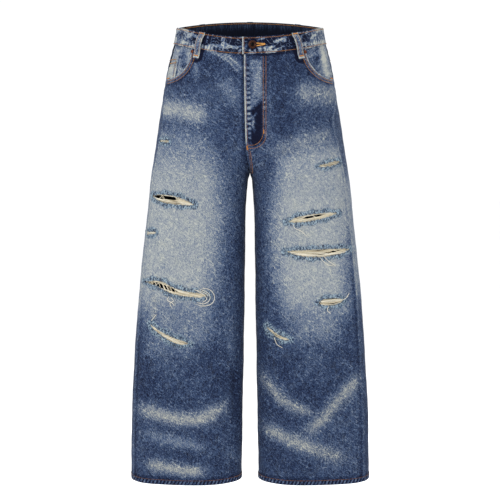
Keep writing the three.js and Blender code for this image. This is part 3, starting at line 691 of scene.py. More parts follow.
class Graph:
    """A material's nodes, added one at a time."""

    def __init__(self, name, roughness=0.85, **settings):
        self.material = bpy.data.materials.new(name)
        self.material.use_nodes = True
        self.tree = self.material.node_tree
        self.shader = self.tree.nodes["Principled BSDF"]
        self.shader.inputs["Roughness"].default_value = roughness
        for key, value in settings.items():
            self.shader.inputs[key.replace("_", " ")].default_value = value

    def put(self, value, socket):
        if isinstance(value, bpy.types.NodeSocket):
            self.tree.links.new(value, socket)
        else:
            socket.default_value = value

    def node(self, kind, inputs=None, **settings):
        """A new node with values or links put into its inputs, given by name or number."""
        node = self.tree.nodes.new("ShaderNode" + kind)
        for key, value in settings.items():
            setattr(node, key, value)
        for key, value in (inputs or {}).items():
            self.put(value, node.inputs[key])
        return node

    def attribute(self, name, output="Fac"):
        return self.node("Attribute", attribute_name=name).outputs[output]

    def math(self, operation, a, b=0.0, clamp=False):
        return self.node("Math", {0: a, 1: b}, operation=operation, use_clamp=clamp).outputs[0]

    def dot(self, vector, way):
        return self.node("VectorMath", {0: vector, 1: way}, operation="DOT_PRODUCT").outputs["Value"]

    def clamped(self, value, shift=0.0):
        """A value with a shift, kept between 0 and 1."""
        return self.math("ADD", value, shift, clamp=True)

    def add(self, *terms):
        total = terms[0]
        for term in terms[1:]:
            total = self.math("ADD", total, term)
        return total

    def times(self, a, b):
        return self.math("MULTIPLY", a, b)

    def stretch(self, vector, turn, across, down):
        """Coordinates turned by degrees and then divided by a size each way."""
        inputs = {"Vector": vector, "Rotation": (0, 0, math.radians(turn)), "Scale": (across, down, across)}
        return self.node("Mapping", inputs, vector_type="TEXTURE").outputs[0]

    def noise(self, vector, detail=2.0, roughness=0.5, amount=1.0):
        """Noise about 0, times an amount."""
        inputs = {"Vector": vector, "Scale": 1, "Detail": detail, "Roughness": roughness}
        node = self.node("TexNoise", inputs, noise_dimensions="3D")
        return self.times(self.math("SUBTRACT", node.outputs[0], 0.5), amount)

    def hairs(self, vector, width, amount):
        """Thin curved lines, where a noise passes through 0."""
        return self.step(self.math("ABSOLUTE", self.noise(vector, 1)), 0.0, width, amount, 0.0)

    def step(self, value, low, high, to_low=0.0, to_high=1.0):
        """A soft step: to_low where a value is below low, to_high where it is above high."""
        inputs = {"Value": value, "From Min": low, "From Max": high, "To Min": to_low, "To Max": to_high}
        return self.node("MapRange", inputs, interpolation_type="SMOOTHSTEP").outputs[0]

    def ramp(self, value, stops):
        """Colours of the screen at positions from 0 to 1."""
        node = self.node("ValToRGB", {0: value})
        elements = node.color_ramp.elements
        while len(elements) < len(stops):
            elements.new(0.5)
        for element, (position, shade) in zip(elements, stops):
            element.position = position
            element.color = colour(*shade)
        return node.outputs[0]

    def mix(self, share, a, b):
        """Two colours mixed, with a share of the second."""
        return self.node("Mix", {"Factor": share, 6: a, 7: b}, data_type="RGBA").outputs[2]

    def finish(self, base, height, distance=0.0003, strength=0.6):
        """The material, with its base colour and the fine relief of its surface."""
        relief = self.node("Bump", {"Strength": strength, "Distance": distance, "Height": height})
        self.put(base, self.shader.inputs["Base Color"])
        self.put(relief.outputs[0], self.shader.inputs["Normal"])
        return self.material


INDIGO = [
    (0.0, (8, 14, 38)), (0.2, (43, 60, 94)), (0.35, (70, 90, 124)), (0.5, (99, 116, 142)),
    (0.7, (138, 147, 160)), (0.85, (157, 165, 170)), (1.0, (190, 193, 186)),
]
CREAM = [
    (0.0, (14, 22, 50)), (0.3, (64, 80, 108)), (0.6, (130, 136, 142)), (0.85, (174, 175, 164)),
    (1.0, (204, 202, 184)),
]


def twill(graph, weave):
    """The diagonal ribs of the weave, from -1 to 1."""
    ribs = 2 * math.pi / 1.5
    return graph.math("SINE", graph.dot(weave, (0.8 * ribs, -0.6 * ribs, 0)))


def denim_material(name, veins=0.0, shift=0.0):
    """Washed denim. veins is the strength of the crackle that seams and bands wear to."""
    graph = Graph(name, 0.9, Sheen_Weight=0.02, Sheen_Roughness=0.5, Specular_IOR_Level=0.1)
    weave = graph.attribute("weave", "Vector")
    fade = graph.add(graph.attribute("fade"), shift)
    ribs = twill(graph, weave)
    clouds = graph.noise(graph.stretch(weave, 0, 42, 60), 3, 0.6, 0.22)
    worms = graph.noise(graph.stretch(weave, -42, 1.9, 5.5), 2, 0.7, 0.85)
    specks = graph.noise(graph.stretch(weave, 0, 1.6, 1.8), 2, 0.7, 1.3)
    slubs = graph.noise(graph.stretch(weave, 0, 2.2, 40), 2, 0.6, 0.3)
    hairs = graph.add(
        graph.hairs(graph.stretch(weave, -50, 7, 24), 0.03, 0.28),
        graph.hairs(graph.stretch(weave, 35, 8, 16), 0.03, 0.2),
        graph.hairs(graph.stretch(weave, -15, 5, 10), 0.05, -0.2),
    )
    more = graph.times(graph.times(fade, graph.math("SUBTRACT", 1.0, fade)), 4.0)
    liveliness = graph.add(0.5, graph.times(more, 0.6))
    grain = graph.times(graph.add(worms, specks, slubs, hairs), liveliness)
    level = graph.add(fade, clouds, grain, graph.times(ribs, 0.025))
    if veins:
        cracks = graph.stretch(weave, 25, 15, 12)
        patches = graph.noise(graph.stretch(weave, -8, 34, 14), 2, 0.5)
        patches = graph.step(patches, 0.01, 0.09, -0.3 * veins, 0.8 * veins)
        level = graph.add(level, graph.hairs(cracks, 0.03, 1.3 * veins), patches)
    base = graph.ramp(graph.clamped(level), INDIGO)
    tint = graph.noise(graph.stretch(weave, 0, 16, 22), 2, 0.5, 1.6)
    cool_to_warm = [(0.3, (140, 144, 164)), (0.7, (178, 180, 158))]
    tinge = graph.ramp(graph.clamped(tint, 0.5), cool_to_warm)
    base = graph.mix(graph.times(graph.math("ABSOLUTE", graph.times(tint, 0.45)), fade), base, tinge)
    brushed = graph.attribute("brushed")
    speckles = graph.add(level, graph.times(grain, 0.45))
    speckled = graph.ramp(graph.clamped(speckles), CREAM)
    base = graph.mix(graph.math("MULTIPLY", brushed, 0.6, clamp=True), base, speckled)
    fray = graph.attribute("fray")
    stubs = graph.step(graph.noise(graph.stretch(weave, 14, 1.9, 5.5), 2, 0.7), -0.09, 0.09)
    torn = graph.ramp(stubs, [(0.0, (14, 28, 60)), (0.5, (74, 104, 138)), (1.0, (168, 188, 200))])
    base = graph.mix(graph.math("MULTIPLY", fray, 0.92, clamp=True), base, torn)
    height = graph.add(graph.times(ribs, 0.25), graph.times(grain, 1.6), graph.times(stubs, fray))
    return graph.finish(base, height, 0.0005, 0.55)


def inside_painted_shade_material():
    """The back of the cloth, painted dark as the deep shade inside the waist, with painted light near its top
    edge.
    """
    graph = Graph("denim_inside_painted_shade", 0.95, Specular_IOR_Level=0.1)
    weave = graph.attribute("weave", "Vector")
    streaks = graph.noise(graph.stretch(weave, 0, 2.4, 26), 3, 0.7, 1.0)
    specks = graph.noise(graph.stretch(weave, 0, 1.4, 1.8), 1, 0.5, 0.6)
    # Painted light: the inside is lighter near its top edge, where light reaches in.
    painted_light_near_top = graph.step(graph.dot(weave, (0, 1, 0)), 6, 24, 0.22, 0.0)
    level = graph.clamped(graph.add(0.36, painted_light_near_top, streaks, specks))
    base = graph.ramp(level, [(0.15, (8, 9, 18)), (0.5, (18, 25, 44)), (0.85, (70, 90, 120))])
    return graph.finish(base, graph.add(streaks, graph.times(twill(graph, weave), 0.3)), 0.0004)


def strand_material(name, dark, middle, light):
    """Yarn: each strand has its own tone, with some unevenness along it."""
    graph = Graph(name, 0.8, Sheen_Weight=0.1)
    place = graph.node("TexCoord").outputs["Object"]
    uneven = graph.noise(graph.stretch(place, 0, 0.0016, 0.0016), 2, 0.6, 0.5)
    tone = graph.clamped(graph.attribute("tone"), uneven)
    base = graph.ramp(tone, [(0.0, dark), (0.5, middle), (1.0, light)])
    return graph.finish(base, uneven, 0.0002, 0.4)


def metal_material(name, dark, light, roughness):
    graph = Graph(name, roughness, Metallic=0.9)
    place = graph.node("TexCoord").outputs["Object"]
    worn = graph.noise(graph.stretch(place, 0, 0.0021, 0.0021), 3, 0.6, 1.4)
    base = graph.ramp(graph.clamped(worn, 0.5), [(0.25, dark), (0.75, light)])
    return graph.finish(base, worn, 0.0001, 0.3)


DENIM_CLOTH = denim_material("denim_washed")
BAND_CLOTH = denim_material("denim_band", veins=0.5)
WORN_CLOTH = denim_material("denim_worn", veins=0.16, shift=-0.04)
# The back of every piece of cloth carries this painted shade.
INSIDE_PAINTED_SHADE = inside_painted_shade_material()
STITCH_YARN = strand_material("yarn_stitch", (92, 52, 12), (166, 104, 26), (214, 156, 68))
TACK_YARN = strand_material("yarn_tack", (150, 84, 20), (200, 120, 34), (232, 170, 84))
# Cream weft: the dark tan end of its ramp is painted shade between the bundles, besides the yarn's own tone.
WEFT_YARN_WITH_SHADE = strand_material("yarn_weft_with_painted_shade", (122, 98, 68), (226, 214, 184), (250, 244, 226))
FRAY_YARN = strand_material("yarn_fray", (14, 28, 58), (86, 116, 148), (178, 198, 208))
COPPER = metal_material("copper", (56, 26, 18), (138, 78, 56), 0.33)
DARK_COPPER = metal_material("copper_dark", (30, 19, 16), (92, 58, 44), 0.36)
# Black enamel that stands in for the shade in the button's hollow: painted shade.
HOLLOW_SHADE_ENAMEL = metal_material("enamel_hollow_painted_shade", (4, 4, 5), (14, 12, 12), 0.16)


# ---- Panels ----


def rows_between(*spans):
    """Heights from spans of (start, end, spacing)."""
    parts = [np.linspace(a, b, max(1, round((b - a) / gap)) + 1)[:-1] for a, b, gap in spans]
    return np.concatenate(parts + [[spans[-1][1]]])


def weave_coordinates(side, angle, h):
    """Millimetres round the form from the middle of the leg, and height."""
    base = body_point(side, angle, h)
    gaps = np.linalg.norm(np.diff(base, axis=1), axis=-1)
    distance = np.concatenate([np.zeros((len(gaps), 1)), np.cumsum(gaps, 1)], 1)
    middle = np.argmin(np.abs(np.abs(angle[len(angle) // 2]) - math.pi / 2))
    face = np.sign(angle[-1, middle])
    return -side * face * (distance - distance[:, middle:middle + 1]), base


def hem_roping(u, h):
    """The diagonal ropes that a washed hem pulls into: their weight and their wave."""
    weight = smooth((h - (OUTSEAM - HEM_DEPTH)) / 3)
    return weight, np.sin(2 * math.pi * (u + 0.5 * (h - OUTSEAM)) / 8.5)


def cloth_piece(name, side, angle, h, lift, thickness, fade, materials,
                keep=None, fray=0.0, brushed=0.0, u=None):
    """A piece of cloth on the form, cut out where keep > 0."""
    if u is None:
        u, _ = weave_coordinates(side, angle, h)
    outer, normal = cloth(side, angle, h, lift)
    inner = outer - normal * np.broadcast_to(thickness, h.shape)[..., None]
    values = np.stack(np.broadcast_arrays(u, h, fade, fray, brushed), -1)
    return shell_piece(name, outer, inner, values, materials, keep)


def seam_wear_and_fly_shadow(side, angle, h, base_fade):
    """Wear on the ridge of the outseam and on the puckers of the fly, and on the right panel a painted shadow
    along the fly's edge.
    """
    millimetres = speed(side, angle, h)
    from_seam = (angle - side_seam(side, h)) * millimetres
    bars = 0.5 + 0.5 * np.sin(h / 2.7 + 1.3 * np.sin(h / 31))
    fade = base_fade + (0.10 + 0.08 * bars) * peak(from_seam, -1.5, 3.5) - 0.10 * peak(from_seam, 6, 4)
    from_fly = (inner_angle(h, along(FRONT_DEPTH, h)) - angle) * millimetres
    on_fly = (np.sin(angle) > 0) & (h < CROTCH)
    # Painted shadow along the fly's edge of the right panel, under the lap of the left panel.
    if side == RIGHT:
        return fade - np.where(on_fly, 0.14 * peak(from_fly, 0, 2.4), 0)
    rungs = smooth(0.5 + np.sin(h / 2.1 + 0.9 * np.sin(h / 19))) * (0.75 + 0.25 * np.sin(h / 23))
    beside = smooth((h - 60) / 20) * (1 - smooth((h - 250) / 20))
    ladder = (0.04 + 0.8 * rungs - fade) * peak(from_fly, 9.4, 4.6, 4) * beside
    between_rows = (0.5 * rungs - 0.2) * peak(from_fly, 46, 2.4) * smooth((h - 85) / 15)
    between_rows = between_rows * (1 - smooth((h - 170) / 30))
    rim = 1.1 * peak(from_fly, 1, 1.8) * (1 - smooth((h - 262) / 12))
    return fade + np.where(on_fly, ladder + between_rows + rim, 0)


def finish_hem(u, h, lift, fade):
    """Lift, thickness and fade of a panel with its hem turned up and roped."""
    weight, wave = hem_roping(u, h)
    thickness = DENIM + (HEM_THICKNESS - DENIM) * weight
    above = smooth((h - (OUTSEAM - 22)) / 8) * (1 - weight)
    fade = fade * (1 - 0.5 * weight) + weight * (0.24 * wave + 0.03) - 0.1 * above
    return lift + weight * (0.5 + 0.35 * wave), thickness, fade


def scoop_distance(side, x, z, margin=0.0):
    """Distance out of the pocket's scoop: negative inside the quarter ellipse."""
    reach, drop = SCOOP_REACH[side] + margin, SCOOP_DROP + margin
    dx = (SCOOP_CORNER[0] - side * x) / reach
    dz = (SCOOP_CORNER[1] - z) / drop
    ring = np.hypot(np.maximum(dx, 0), np.maximum(dz, 0))
    return (ring - 1) * (reach + drop) / 2


def front_angles(side, heights, columns):
    """The grid of a front panel: rows at heights, from the outseam to the fly and the inseam."""
    h = heights[:, None]
    seam = side_seam(side, h)
    start = seam + SEAM_GAP / 2 / speed(side, seam, h)
    end = inner_angle(h, along(FRONT_DEPTH, h))
    angle = start + (end - start) * np.linspace(0, 1, columns + 1)
    return angle, np.broadcast_to(h, angle.shape)


def painted_loop_shadow(x, z):
    """A painted shadow: the dark line along the inner side and the foot of the loops in front."""
    total = 0
    for _, side, _, top_x, bottom_x in LOOPS[:2]:
        z_top, z_bottom = (-19, -79) if side == RIGHT else (-20, -81)
        t = np.clip((z - z_top) / (z_bottom - z_top), 0, 1)
        inner = np.abs(top_x + (bottom_x - top_x) * t) - LOOP_WIDTH / 2
        beside = peak(np.abs(x), inner - 2.4, 3.2) * (z > z_bottom) * (side * x > 0)
        at_foot = np.abs(x - bottom_x) < LOOP_WIDTH / 2 + 2
        under = peak(z, z_bottom - 0.5, 1.8) * at_foot
        total = total + 0.55 * np.maximum(beside, under)
    return total


def front_panel(side):
    top, bottom = RIP_ROWS
    heights = rows_between((BAND_DEPTH + SEAM_GAP, top, 3.3), (top, bottom, 2.05), (bottom, HEM_ROWS, 3.3),
                           (HEM_ROWS, OUTSEAM, 2))
    angle, h = front_angles(side, heights, 112)
    u, base = weave_coordinates(side, angle, h)
    x, z = base[..., 0], base[..., 2]
    outside, border = rip_distance(side, x, z)
    keep = np.minimum(outside, scoop_distance(side, x, z))
    fray = 1 - smooth((outside - border * (0.75 + 0.25 * np.sin(x / 5.3))) / 5)
    raised = 0.9 * peak(outside, 2, 5)
    level, brushed = wash(FRONT, x, z)
    fade = seam_wear_and_fly_shadow(side, angle, h, level)
    from_scoop = scoop_distance(side, x, z)
    # Wear lightens the scoop's rim and the band between its stitch rows; a painted shadow darkens the cloth
    # beyond the outer row, under the waistband at h = 41 and beside the loops.
    fade = fade + 0.7 * peak(from_scoop, 1.2, 1.8) + 0.14 * peak(from_scoop, 7.5, 2)
    fade = fade - 0.1 * peak(from_scoop, 13, 3) - 0.14 * peak(h, 41, 3) - painted_loop_shadow(x, z)
    lift, thickness, fade = finish_hem(u, h, raised, fade)
    piece = cloth_piece(f"front_{HANDS[side]}", side, angle, h, lift, thickness, fade,
                        [DENIM_CLOTH, INSIDE_PAINTED_SHADE], keep, fray, brushed, u)
    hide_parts(f"front_panel_{HANDS[side]}")


def yoke_seam(share):
    """The height of the seam under the yoke, which drops towards the centre back."""
    return YOKE_SIDE + (YOKE_CENTRE - YOKE_SIDE) * share


def back_angle(side, h, share):
    seam = side_seam(side, h)
    start = seam - SEAM_GAP / 2 / speed(side, seam, h)
    return start + (-inner_angle(h, along(BACK_DEPTH, h)) - start) * share


def back_grid(side, rows, columns):
    """The grid of a back panel: its rows start along the yoke seam and end level."""
    share = np.linspace(0, 1, columns + 1)[None]
    level = np.clip((YOKE_LEVEL - rows[:, None]) / (YOKE_LEVEL - YOKE_SIDE), 0, 1)
    h = rows[:, None] + (yoke_seam(share) - YOKE_SIDE + SEAM_GAP / 2) * level
    return back_angle(side, h, share), h


def back_panel(side):
    rows = rows_between((YOKE_SIDE, HEM_ROWS, 4), (HEM_ROWS, OUTSEAM, 2.3))
    angle, h = back_grid(side, rows, 84)
    u, base = weave_coordinates(side, angle, h)
    level, brushed = wash(BACK, base[..., 0], base[..., 2])
    fade = seam_wear_and_fly_shadow(side, angle, h, level)
    under_yoke = h - yoke_seam(np.linspace(0, 1, 85))
    fade = fade + 0.14 * peak(under_yoke, 4, 5)
    lift, thickness, fade = finish_hem(u, h, 0.0, fade)
    piece = cloth_piece(f"back_{HANDS[side]}", side, angle, h, lift, thickness, fade,
                        [DENIM_CLOTH, INSIDE_PAINTED_SHADE], brushed=brushed, u=u)
    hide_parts(f"back_panel_{HANDS[side]}")


def yoke(side):
    share = np.linspace(0, 1, 85)[None]
    t = np.linspace(0, 1, 20)[:, None]
    start = BAND_DEPTH + SEAM_GAP
    h = start + (yoke_seam(share) - SEAM_GAP / 2 - start) * t
    angle = back_angle(side, h, share)
    base = body_point(side, angle, h)
    fade = wash(BACK, base[..., 0], base[..., 2])[0] + 0.1 * bump((1 - t) * 4) + 0.05
    piece = cloth_piece(f"yoke_cloth_{HANDS[side]}", side, angle, h, 0.0, DENIM, fade,
                        [DENIM_CLOTH, INSIDE_PAINTED_SHADE])
    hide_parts(f"yoke_{HANDS[side]}")


def pocket_outline(side):
    return [(side * x, z) for x, z in POCKET_OUTLINE]


def back_pocket(side):
    angle, h = back_grid(side, rows_between((92, 330, 3)), 110)
    base = body_point(side, angle, h)
    x, z = base[..., 0], base[..., 2]
    inside = outline_distance(pocket_outline(side), x, z)
    edge = peak(inside, 1.5, 4)
    fade = wash(BACK, x, z)[0] + 0.05 + 0.2 * edge * (0.6 + 0.4 * np.sin(h / 2.6 + x / 3.1))
    fade = fade + 0.14 * bump((inside - 32) / 30)
    lift = POCKET_LIFT + DENIM + 0.5 * peak(inside, 5, 5) + 0.6 * bump((inside - 45) / 45)
    piece = cloth_piece(f"pocket_back_{HANDS[side]}", side, angle, h, lift, DENIM, fade, [DENIM_CLOTH],
                        keep=inside)
    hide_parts(f"back_pocket_{HANDS[side]}")


def facing(side):
    angle, h = front_angles(side, rows_between((BAND_DEPTH + SEAM_GAP, 190, 2.6)), 120)
    base = body_point(side, angle, h)
    x, z = base[..., 0], base[..., 2]
    streaks = 0.16 * np.sin(x / 6 + 1.2 * np.sin(z / 17)) * np.sin(z / 23 + 1)
    if side == RIGHT:
        # Painted shade on the right facing: a dark patch of shade, and a painted shadow along the edge of the
        # coin pocket.
        painted_shade_patch = peak(x + (z + 80) / 6, -154, 12) * (1 - smooth((-z - 92) / 12))
        coin_pocket_shadow = peak(x - (z + 70) * 11 / 72, -165.5, 2) * (z < -66)
        fade = 0.80 + streaks - 0.5 * painted_shade_patch - 0.5 * coin_pocket_shadow
    else:
        fade = 0.34 + streaks + 0.5 * peak(x + (z + 80) / 5, 172, 7) + 0.2 * smooth((x - 150) / 30)
    # A painted shadow just inside the scoop's edge, cast by the front panel.
    fade = fade - 0.3 * peak(scoop_distance(side, x, z), -0.5, 2.2)
    piece = cloth_piece(f"facing_{HANDS[side]}", side, angle, h, FACING_LIFT[side], THIN_DENIM, fade,
                        [WORN_CLOTH, INSIDE_PAINTED_SHADE], keep=-scoop_distance(side, x, z, FACING_MARGIN))
    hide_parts(f"pocket_facing_{HANDS[side]}")


def coin_pocket():
    angle, h = front_angles(RIGHT, rows_between((90, 190, 2.2)), 140)
    base = body_point(RIGHT, angle, h)
    x, z = base[..., 0], base[..., 2]
    inside = outline_distance(COIN_OUTLINE, x, z)
    fade = 0.92 + 0.16 * peak(inside, 1, 1.8) - 0.3 * peak(inside, 5, 1.6)
    piece = cloth_piece("coin_pocket_cloth", RIGHT, angle, h, COIN_LIFT, THIN_DENIM, fade, [WORN_CLOTH],
                        keep=inside)
    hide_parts("coin_pocket")


# ---- Waistband and loops ----


def round_waist(turn):
    """Round the waist from the middle of the front, over the wearer's left side and back."""
    half = turn <= math.pi
    return np.where(half, LEFT, RIGHT), np.where(half, math.pi / 2 - turn, turn - 1.5 * math.pi)


def band_lift(turn):
    """Lift of the waistband: the upper end of its lap is raised, and the lower end is dropped."""
    degrees = np.degrees(turn)
    raised = LAP_RAISE * (1 - smooth((degrees - UPPER_TURN) / LAP_RAMP))
    return BAND_LIFT + raised - LAP_DROP * smooth((degrees - LOWER_TURN) / LAP_RAMP)


def waistband():
    h = np.linspace(0, BAND_DEPTH, 25)[:, None]
    start = math.pi / 2 - angle_at_x(LEFT, FRONT, BAND_ENDS[0], h)
    end = 2.5 * math.pi - angle_at_x(LEFT, FRONT, BAND_ENDS[1], h)
    share = np.concatenate([np.linspace(0, 0.06, 61)[:-1], np.linspace(0.06, 1, 440)])
    turn = start + (end - start) * share
    h = np.broadcast_to(h, turn.shape)
    side, angle = round_waist(turn)
    u = turn * 165
    base = body_point(side, angle, h)
    edge = np.minimum(h, BAND_DEPTH - h)
    puckers = np.sin(u / 1.6 + 0.8 * np.sin(u / 37))
    lift = band_lift(turn) + 0.3 * puckers * peak(edge, 4, 4) - 0.5 * peak(edge, 0, 1.2)
    x, in_front = base[..., 0], base[..., 1] < 0
    worn = 0.42 * smooth((np.abs(x) - 122) / 26) * in_front
    oval = peak(BAND_DEPTH - h, 8, 4.5) * smooth(0.5 + puckers)
    fade = 0.05 + worn + 0.12 * peak(edge, 0, 1.8) + 0.75 * oval * (0.6 + 0.4 * np.sin(x / 21 + 0.5))
    fade = fade + 1.1 * peak(share * BAND_LENGTH, 0.9, 1.6) - 0.12 * peak(share * BAND_LENGTH, 5.4, 1.8)
    fade = fade - 0.3 * bump((x + 158) / 22) * bump((h - 12) / 12) * in_front
    # Painted shadow: a dark ring round the button, and the painted shadows beside the loops.
    from_button = np.hypot(x - BUTTON_X, h - BUTTON_H)
    fade = fade - 0.4 * peak(from_button, 10.5, 2.5) * in_front - painted_loop_shadow(x, base[..., 2])
    outer, normal = cloth(side, angle, h, lift)
    inner = outer - normal * BAND_THICKNESS
    slit = buttonhole_distance(x, h)
    keep = np.where((share < 0.1) & in_front, slit, 1.0)
    values = np.stack(np.broadcast_arrays(u, h, fade, 0 * h, 0 * h), -1)
    piece = shell_piece("waistband_cloth", outer, inner, values, [BAND_CLOTH, INSIDE_PAINTED_SHADE], keep)
    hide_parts("waistband")


def buttonhole_distance(x, h):
    """Distance out of the buttonhole: a round eye under the button with a slit to the side."""
    eye = np.hypot(x - BUTTON_X, h - BUTTON_H) - EYE_RADIUS
    along_slit = np.clip((x - BUTTON_X) / (SLIT_END - BUTTON_X), 0, 1)
    slit = np.hypot(np.maximum(x - SLIT_END, 0), h - BUTTON_H) - SLIT_HALF * (1 - 0.5 * along_slit)
    return np.minimum(eye, np.where(x > BUTTON_X, slit, 1e3))


def loop_point(side, face, top_x, bottom_x, h, across, lift):
    """A point of a belt loop, across it from its middle line."""
    x = top_x + (bottom_x - top_x) * (h - LOOP_TOP) / (LOOP_BOTTOM - LOOP_TOP)
    middle = angle_at_x(side, face, x, h)
    angle = middle + across / speed(side, middle, h)
    base = body_point(side, angle, h)
    normal = body_normal(side, angle, h)
    height = along(LOOP_BOW, h) + LOOP_THICKNESS + lift
    return base + normal * height[..., None], normal


def belt_loop(name, side, face, top_x, bottom_x):
    h = np.linspace(LOOP_TOP, LOOP_BOTTOM, 61)[:, None]
    across = np.linspace(-0.5, 0.5, 13)[None] * LOOP_WIDTH
    h, across = np.broadcast_arrays(h, across)
    edge = LOOP_WIDTH / 2 - np.abs(across)
    crown = -0.5 * peak(edge, 0, 0.9) - 0.35 * bump(across / 1.8)
    outer, normal = loop_point(side, face, top_x, bottom_x, h, across, crown)
    inner = outer - normal * (LOOP_THICKNESS + crown)[..., None]
    fade = 0.52 + 0.4 * smooth((h - 54) / 2) + 0.4 * peak(edge, 0, 1.6) - 0.16 * bump(across / 2.5)
    values = np.stack([across + 40 * top_x, h, fade, 0 * h, 0 * h], -1)
    piece = shell_piece(f"loop_{name}", outer, inner, values, [WORN_CLOTH])
    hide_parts(f"belt_loop_{name}")


# ---- Stitches ----


def evenly(points, normals, pitch):
    """Points every pitch along a path, with their normals and directions."""
    gaps = np.linalg.norm(np.diff(points, axis=0), axis=-1)
    distance = np.concatenate([[0], np.cumsum(gaps)])
    count = max(1, int(distance[-1] / pitch))
    at = (np.arange(count) + 0.5) * distance[-1] / count

    def between(table, at):
        return np.stack([np.interp(at, distance, table[:, k]) for k in range(3)], -1)

    way = between(points, at + 0.5) - between(points, at - 0.5)
    return between(points, at), unit(between(normals, at)), unit(way)


class Stitching:
    """Collects short raised stitches, and makes one piece of them."""

    def __init__(self, name, yarn):
        self.name, self.yarn = name, yarn
        self.paths, self.normals, self.tones, self.radii = [], [], [], []

    def put(self, middle, normal, way, length, radius, tone):
        reach = np.array([-0.5, -0.36, 0.36, 0.5])[:, None] * length
        rise = np.array([-0.5, 0.25, 0.25, -0.5])[:, None] * radius
        shape = np.array([0.45, 1, 1, 0.45]) * radius
        self.paths.append(middle[:, None] + way[:, None] * reach + normal[:, None] * rise)
        self.normals.append(np.repeat(normal[:, None], 4, 1))
        self.radii.append(np.tile(shape, (len(middle), 1)))
        self.tones.append(tone + 0.35 * (rng.random(len(middle)) - 0.5))

    def row(self, points, normals, pitch=4.0, length=3.1, radius=0.62, tone=0.5):
        middle, normal, way = evenly(points, normals, pitch)
        self.put(middle, normal, way, length, radius, tone)

    def bar(self, points, normals, width, tone=0.6, pitch=0.85, radius=0.5):
        """A bar tack: close stitches across the path."""
        middle, normal, way = evenly(points, normals, pitch)
        self.put(middle, normal, unit(np.cross(way, normal)), width, radius, tone)

    def on_face(self, side, face, points, lift=0.3, bar=None, **how):
        """A row, or a bar tack of some width, along a path in x and z on the front or the back."""
        x, z = np.asarray(points, float).T
        angle, h = find(side, face, x, z)
        place, normal = cloth(side, angle, h, lift)
        if bar:
            self.bar(place, normal, bar, **how)
        else:
            self.row(place, normal, **how)

    def make(self):
        piece = tubes(self.name, np.vstack(self.paths), np.vstack(self.normals), np.vstack(self.radii),
                      self.yarn, np.concatenate(self.tones))


def scoop_path(side, margin):
    """A path round the outside of a front pocket opening."""
    turn = np.radians(np.linspace(3, 87, 40))
    reach, drop = SCOOP_REACH[side] + margin, SCOOP_DROP + margin
    return [
        (side * (SCOOP_CORNER[0] - reach * math.cos(t)), SCOOP_CORNER[1] - drop * math.sin(t)) for t in turn
    ]


def dense(points, steps=12):
    """A path through points in straight runs, in many short steps."""
    points = np.asarray(points, float)
    spans = [a + (b - a) * np.arange(steps)[:, None] / steps for a, b in zip(points, points[1:])]
    return np.vstack(spans + [points[-1:]])


def inset(outline, margin):
    """A closed outline moved inwards by a margin, with its corners mitred."""
    points = np.asarray(outline, float)
    ahead = unit(np.roll(points, -1, 0) - points)
    area = np.sum(points[:, 0] * np.roll(points[:, 1], -1) - np.roll(points[:, 0], -1) * points[:, 1])
    inward = np.stack([-ahead[:, 1], ahead[:, 0]], -1) * np.sign(area)
    before = np.roll(inward, 1, 0)
    mitre = (inward + before) / (1 + np.sum(inward * before, 1, keepdims=True))
    return points + mitre * margin


def band_stitches(rows):
    for h in (3.2, BAND_DEPTH - 2.6):
        start = math.pi / 2 - angle_at_x(LEFT, FRONT, BAND_ENDS[0] + 2.5, h)
        end = 2.5 * math.pi - angle_at_x(LEFT, FRONT, BAND_ENDS[1] - 3, h)
        turn = np.linspace(start, end, 500)
        side, angle = round_waist(turn)
        shown = (turn > math.radians(UPPER_TURN)) | (turn < math.radians(LOWER_TURN))
        place, normal = cloth(side, angle, np.full(turn.shape, float(h)), band_lift(turn) + 0.35)
        rows.row(place[shown], normal[shown])
    turn = np.linspace(0.52 * math.pi, 1.48 * math.pi, 300)
    side, angle = round_waist(turn)
    place, normal = cloth(side, angle, np.full(turn.shape, 3.2), BAND_LIFT - BAND_THICKNESS - 0.35)
    rows.row(place, -normal, radius=0.75, tone=0.6)
    h = np.linspace(4, BAND_DEPTH - 4, 12)
    angle = angle_at_x(LEFT, FRONT, BAND_ENDS[0] + 3.8, h)
    side, angle = round_waist(math.pi / 2 - angle)
    place, normal = cloth(side, angle, h, BAND_LIFT + LAP_RAISE + 0.35)
    rows.row(place, normal)


def front_stitches(rows):
    for side in (LEFT, RIGHT):
        for margin in (4.6, 10.4):
            rows.on_face(side, FRONT, scoop_path(side, margin))
    for offset, low in ((29.8, -271), (35.9, -278)):
        turn = np.radians(np.linspace(0, 86, 24))
        reach = offset - 4
        arc = np.stack([4 + reach * np.cos(turn), low + 30 - 30 * np.sin(turn)], -1)
        straight = dense([(offset, -70), (offset, low + 31)], 40)
        rows.on_face(LEFT, FRONT, np.vstack([straight, arc, [(-5, low)]]), tone=0.45)
    rim = [(-9.6, -72), (-8.8, -160), (-5.4, -270), (1.5, -318), (2.5, -336)]
    rows.on_face(LEFT, FRONT, dense(rim), radius=0.5, tone=0.2)
    rows.on_face(LEFT, FRONT, dense([(0.5, -284), (5, -318), (6.5, -336)]), tone=0.35)
    for drop in (0, 8):
        rows.on_face(RIGHT, FRONT, dense([(-170, -73.5 - drop), (-186, -74.5 - drop)], 6),
                     lift=COIN_LIFT + 0.4, radius=0.8, tone=0.75)
    rows.on_face(RIGHT, FRONT, dense([(-171.5, -76), (-181, -138)]), lift=COIN_LIFT + 0.3, tone=0.3)


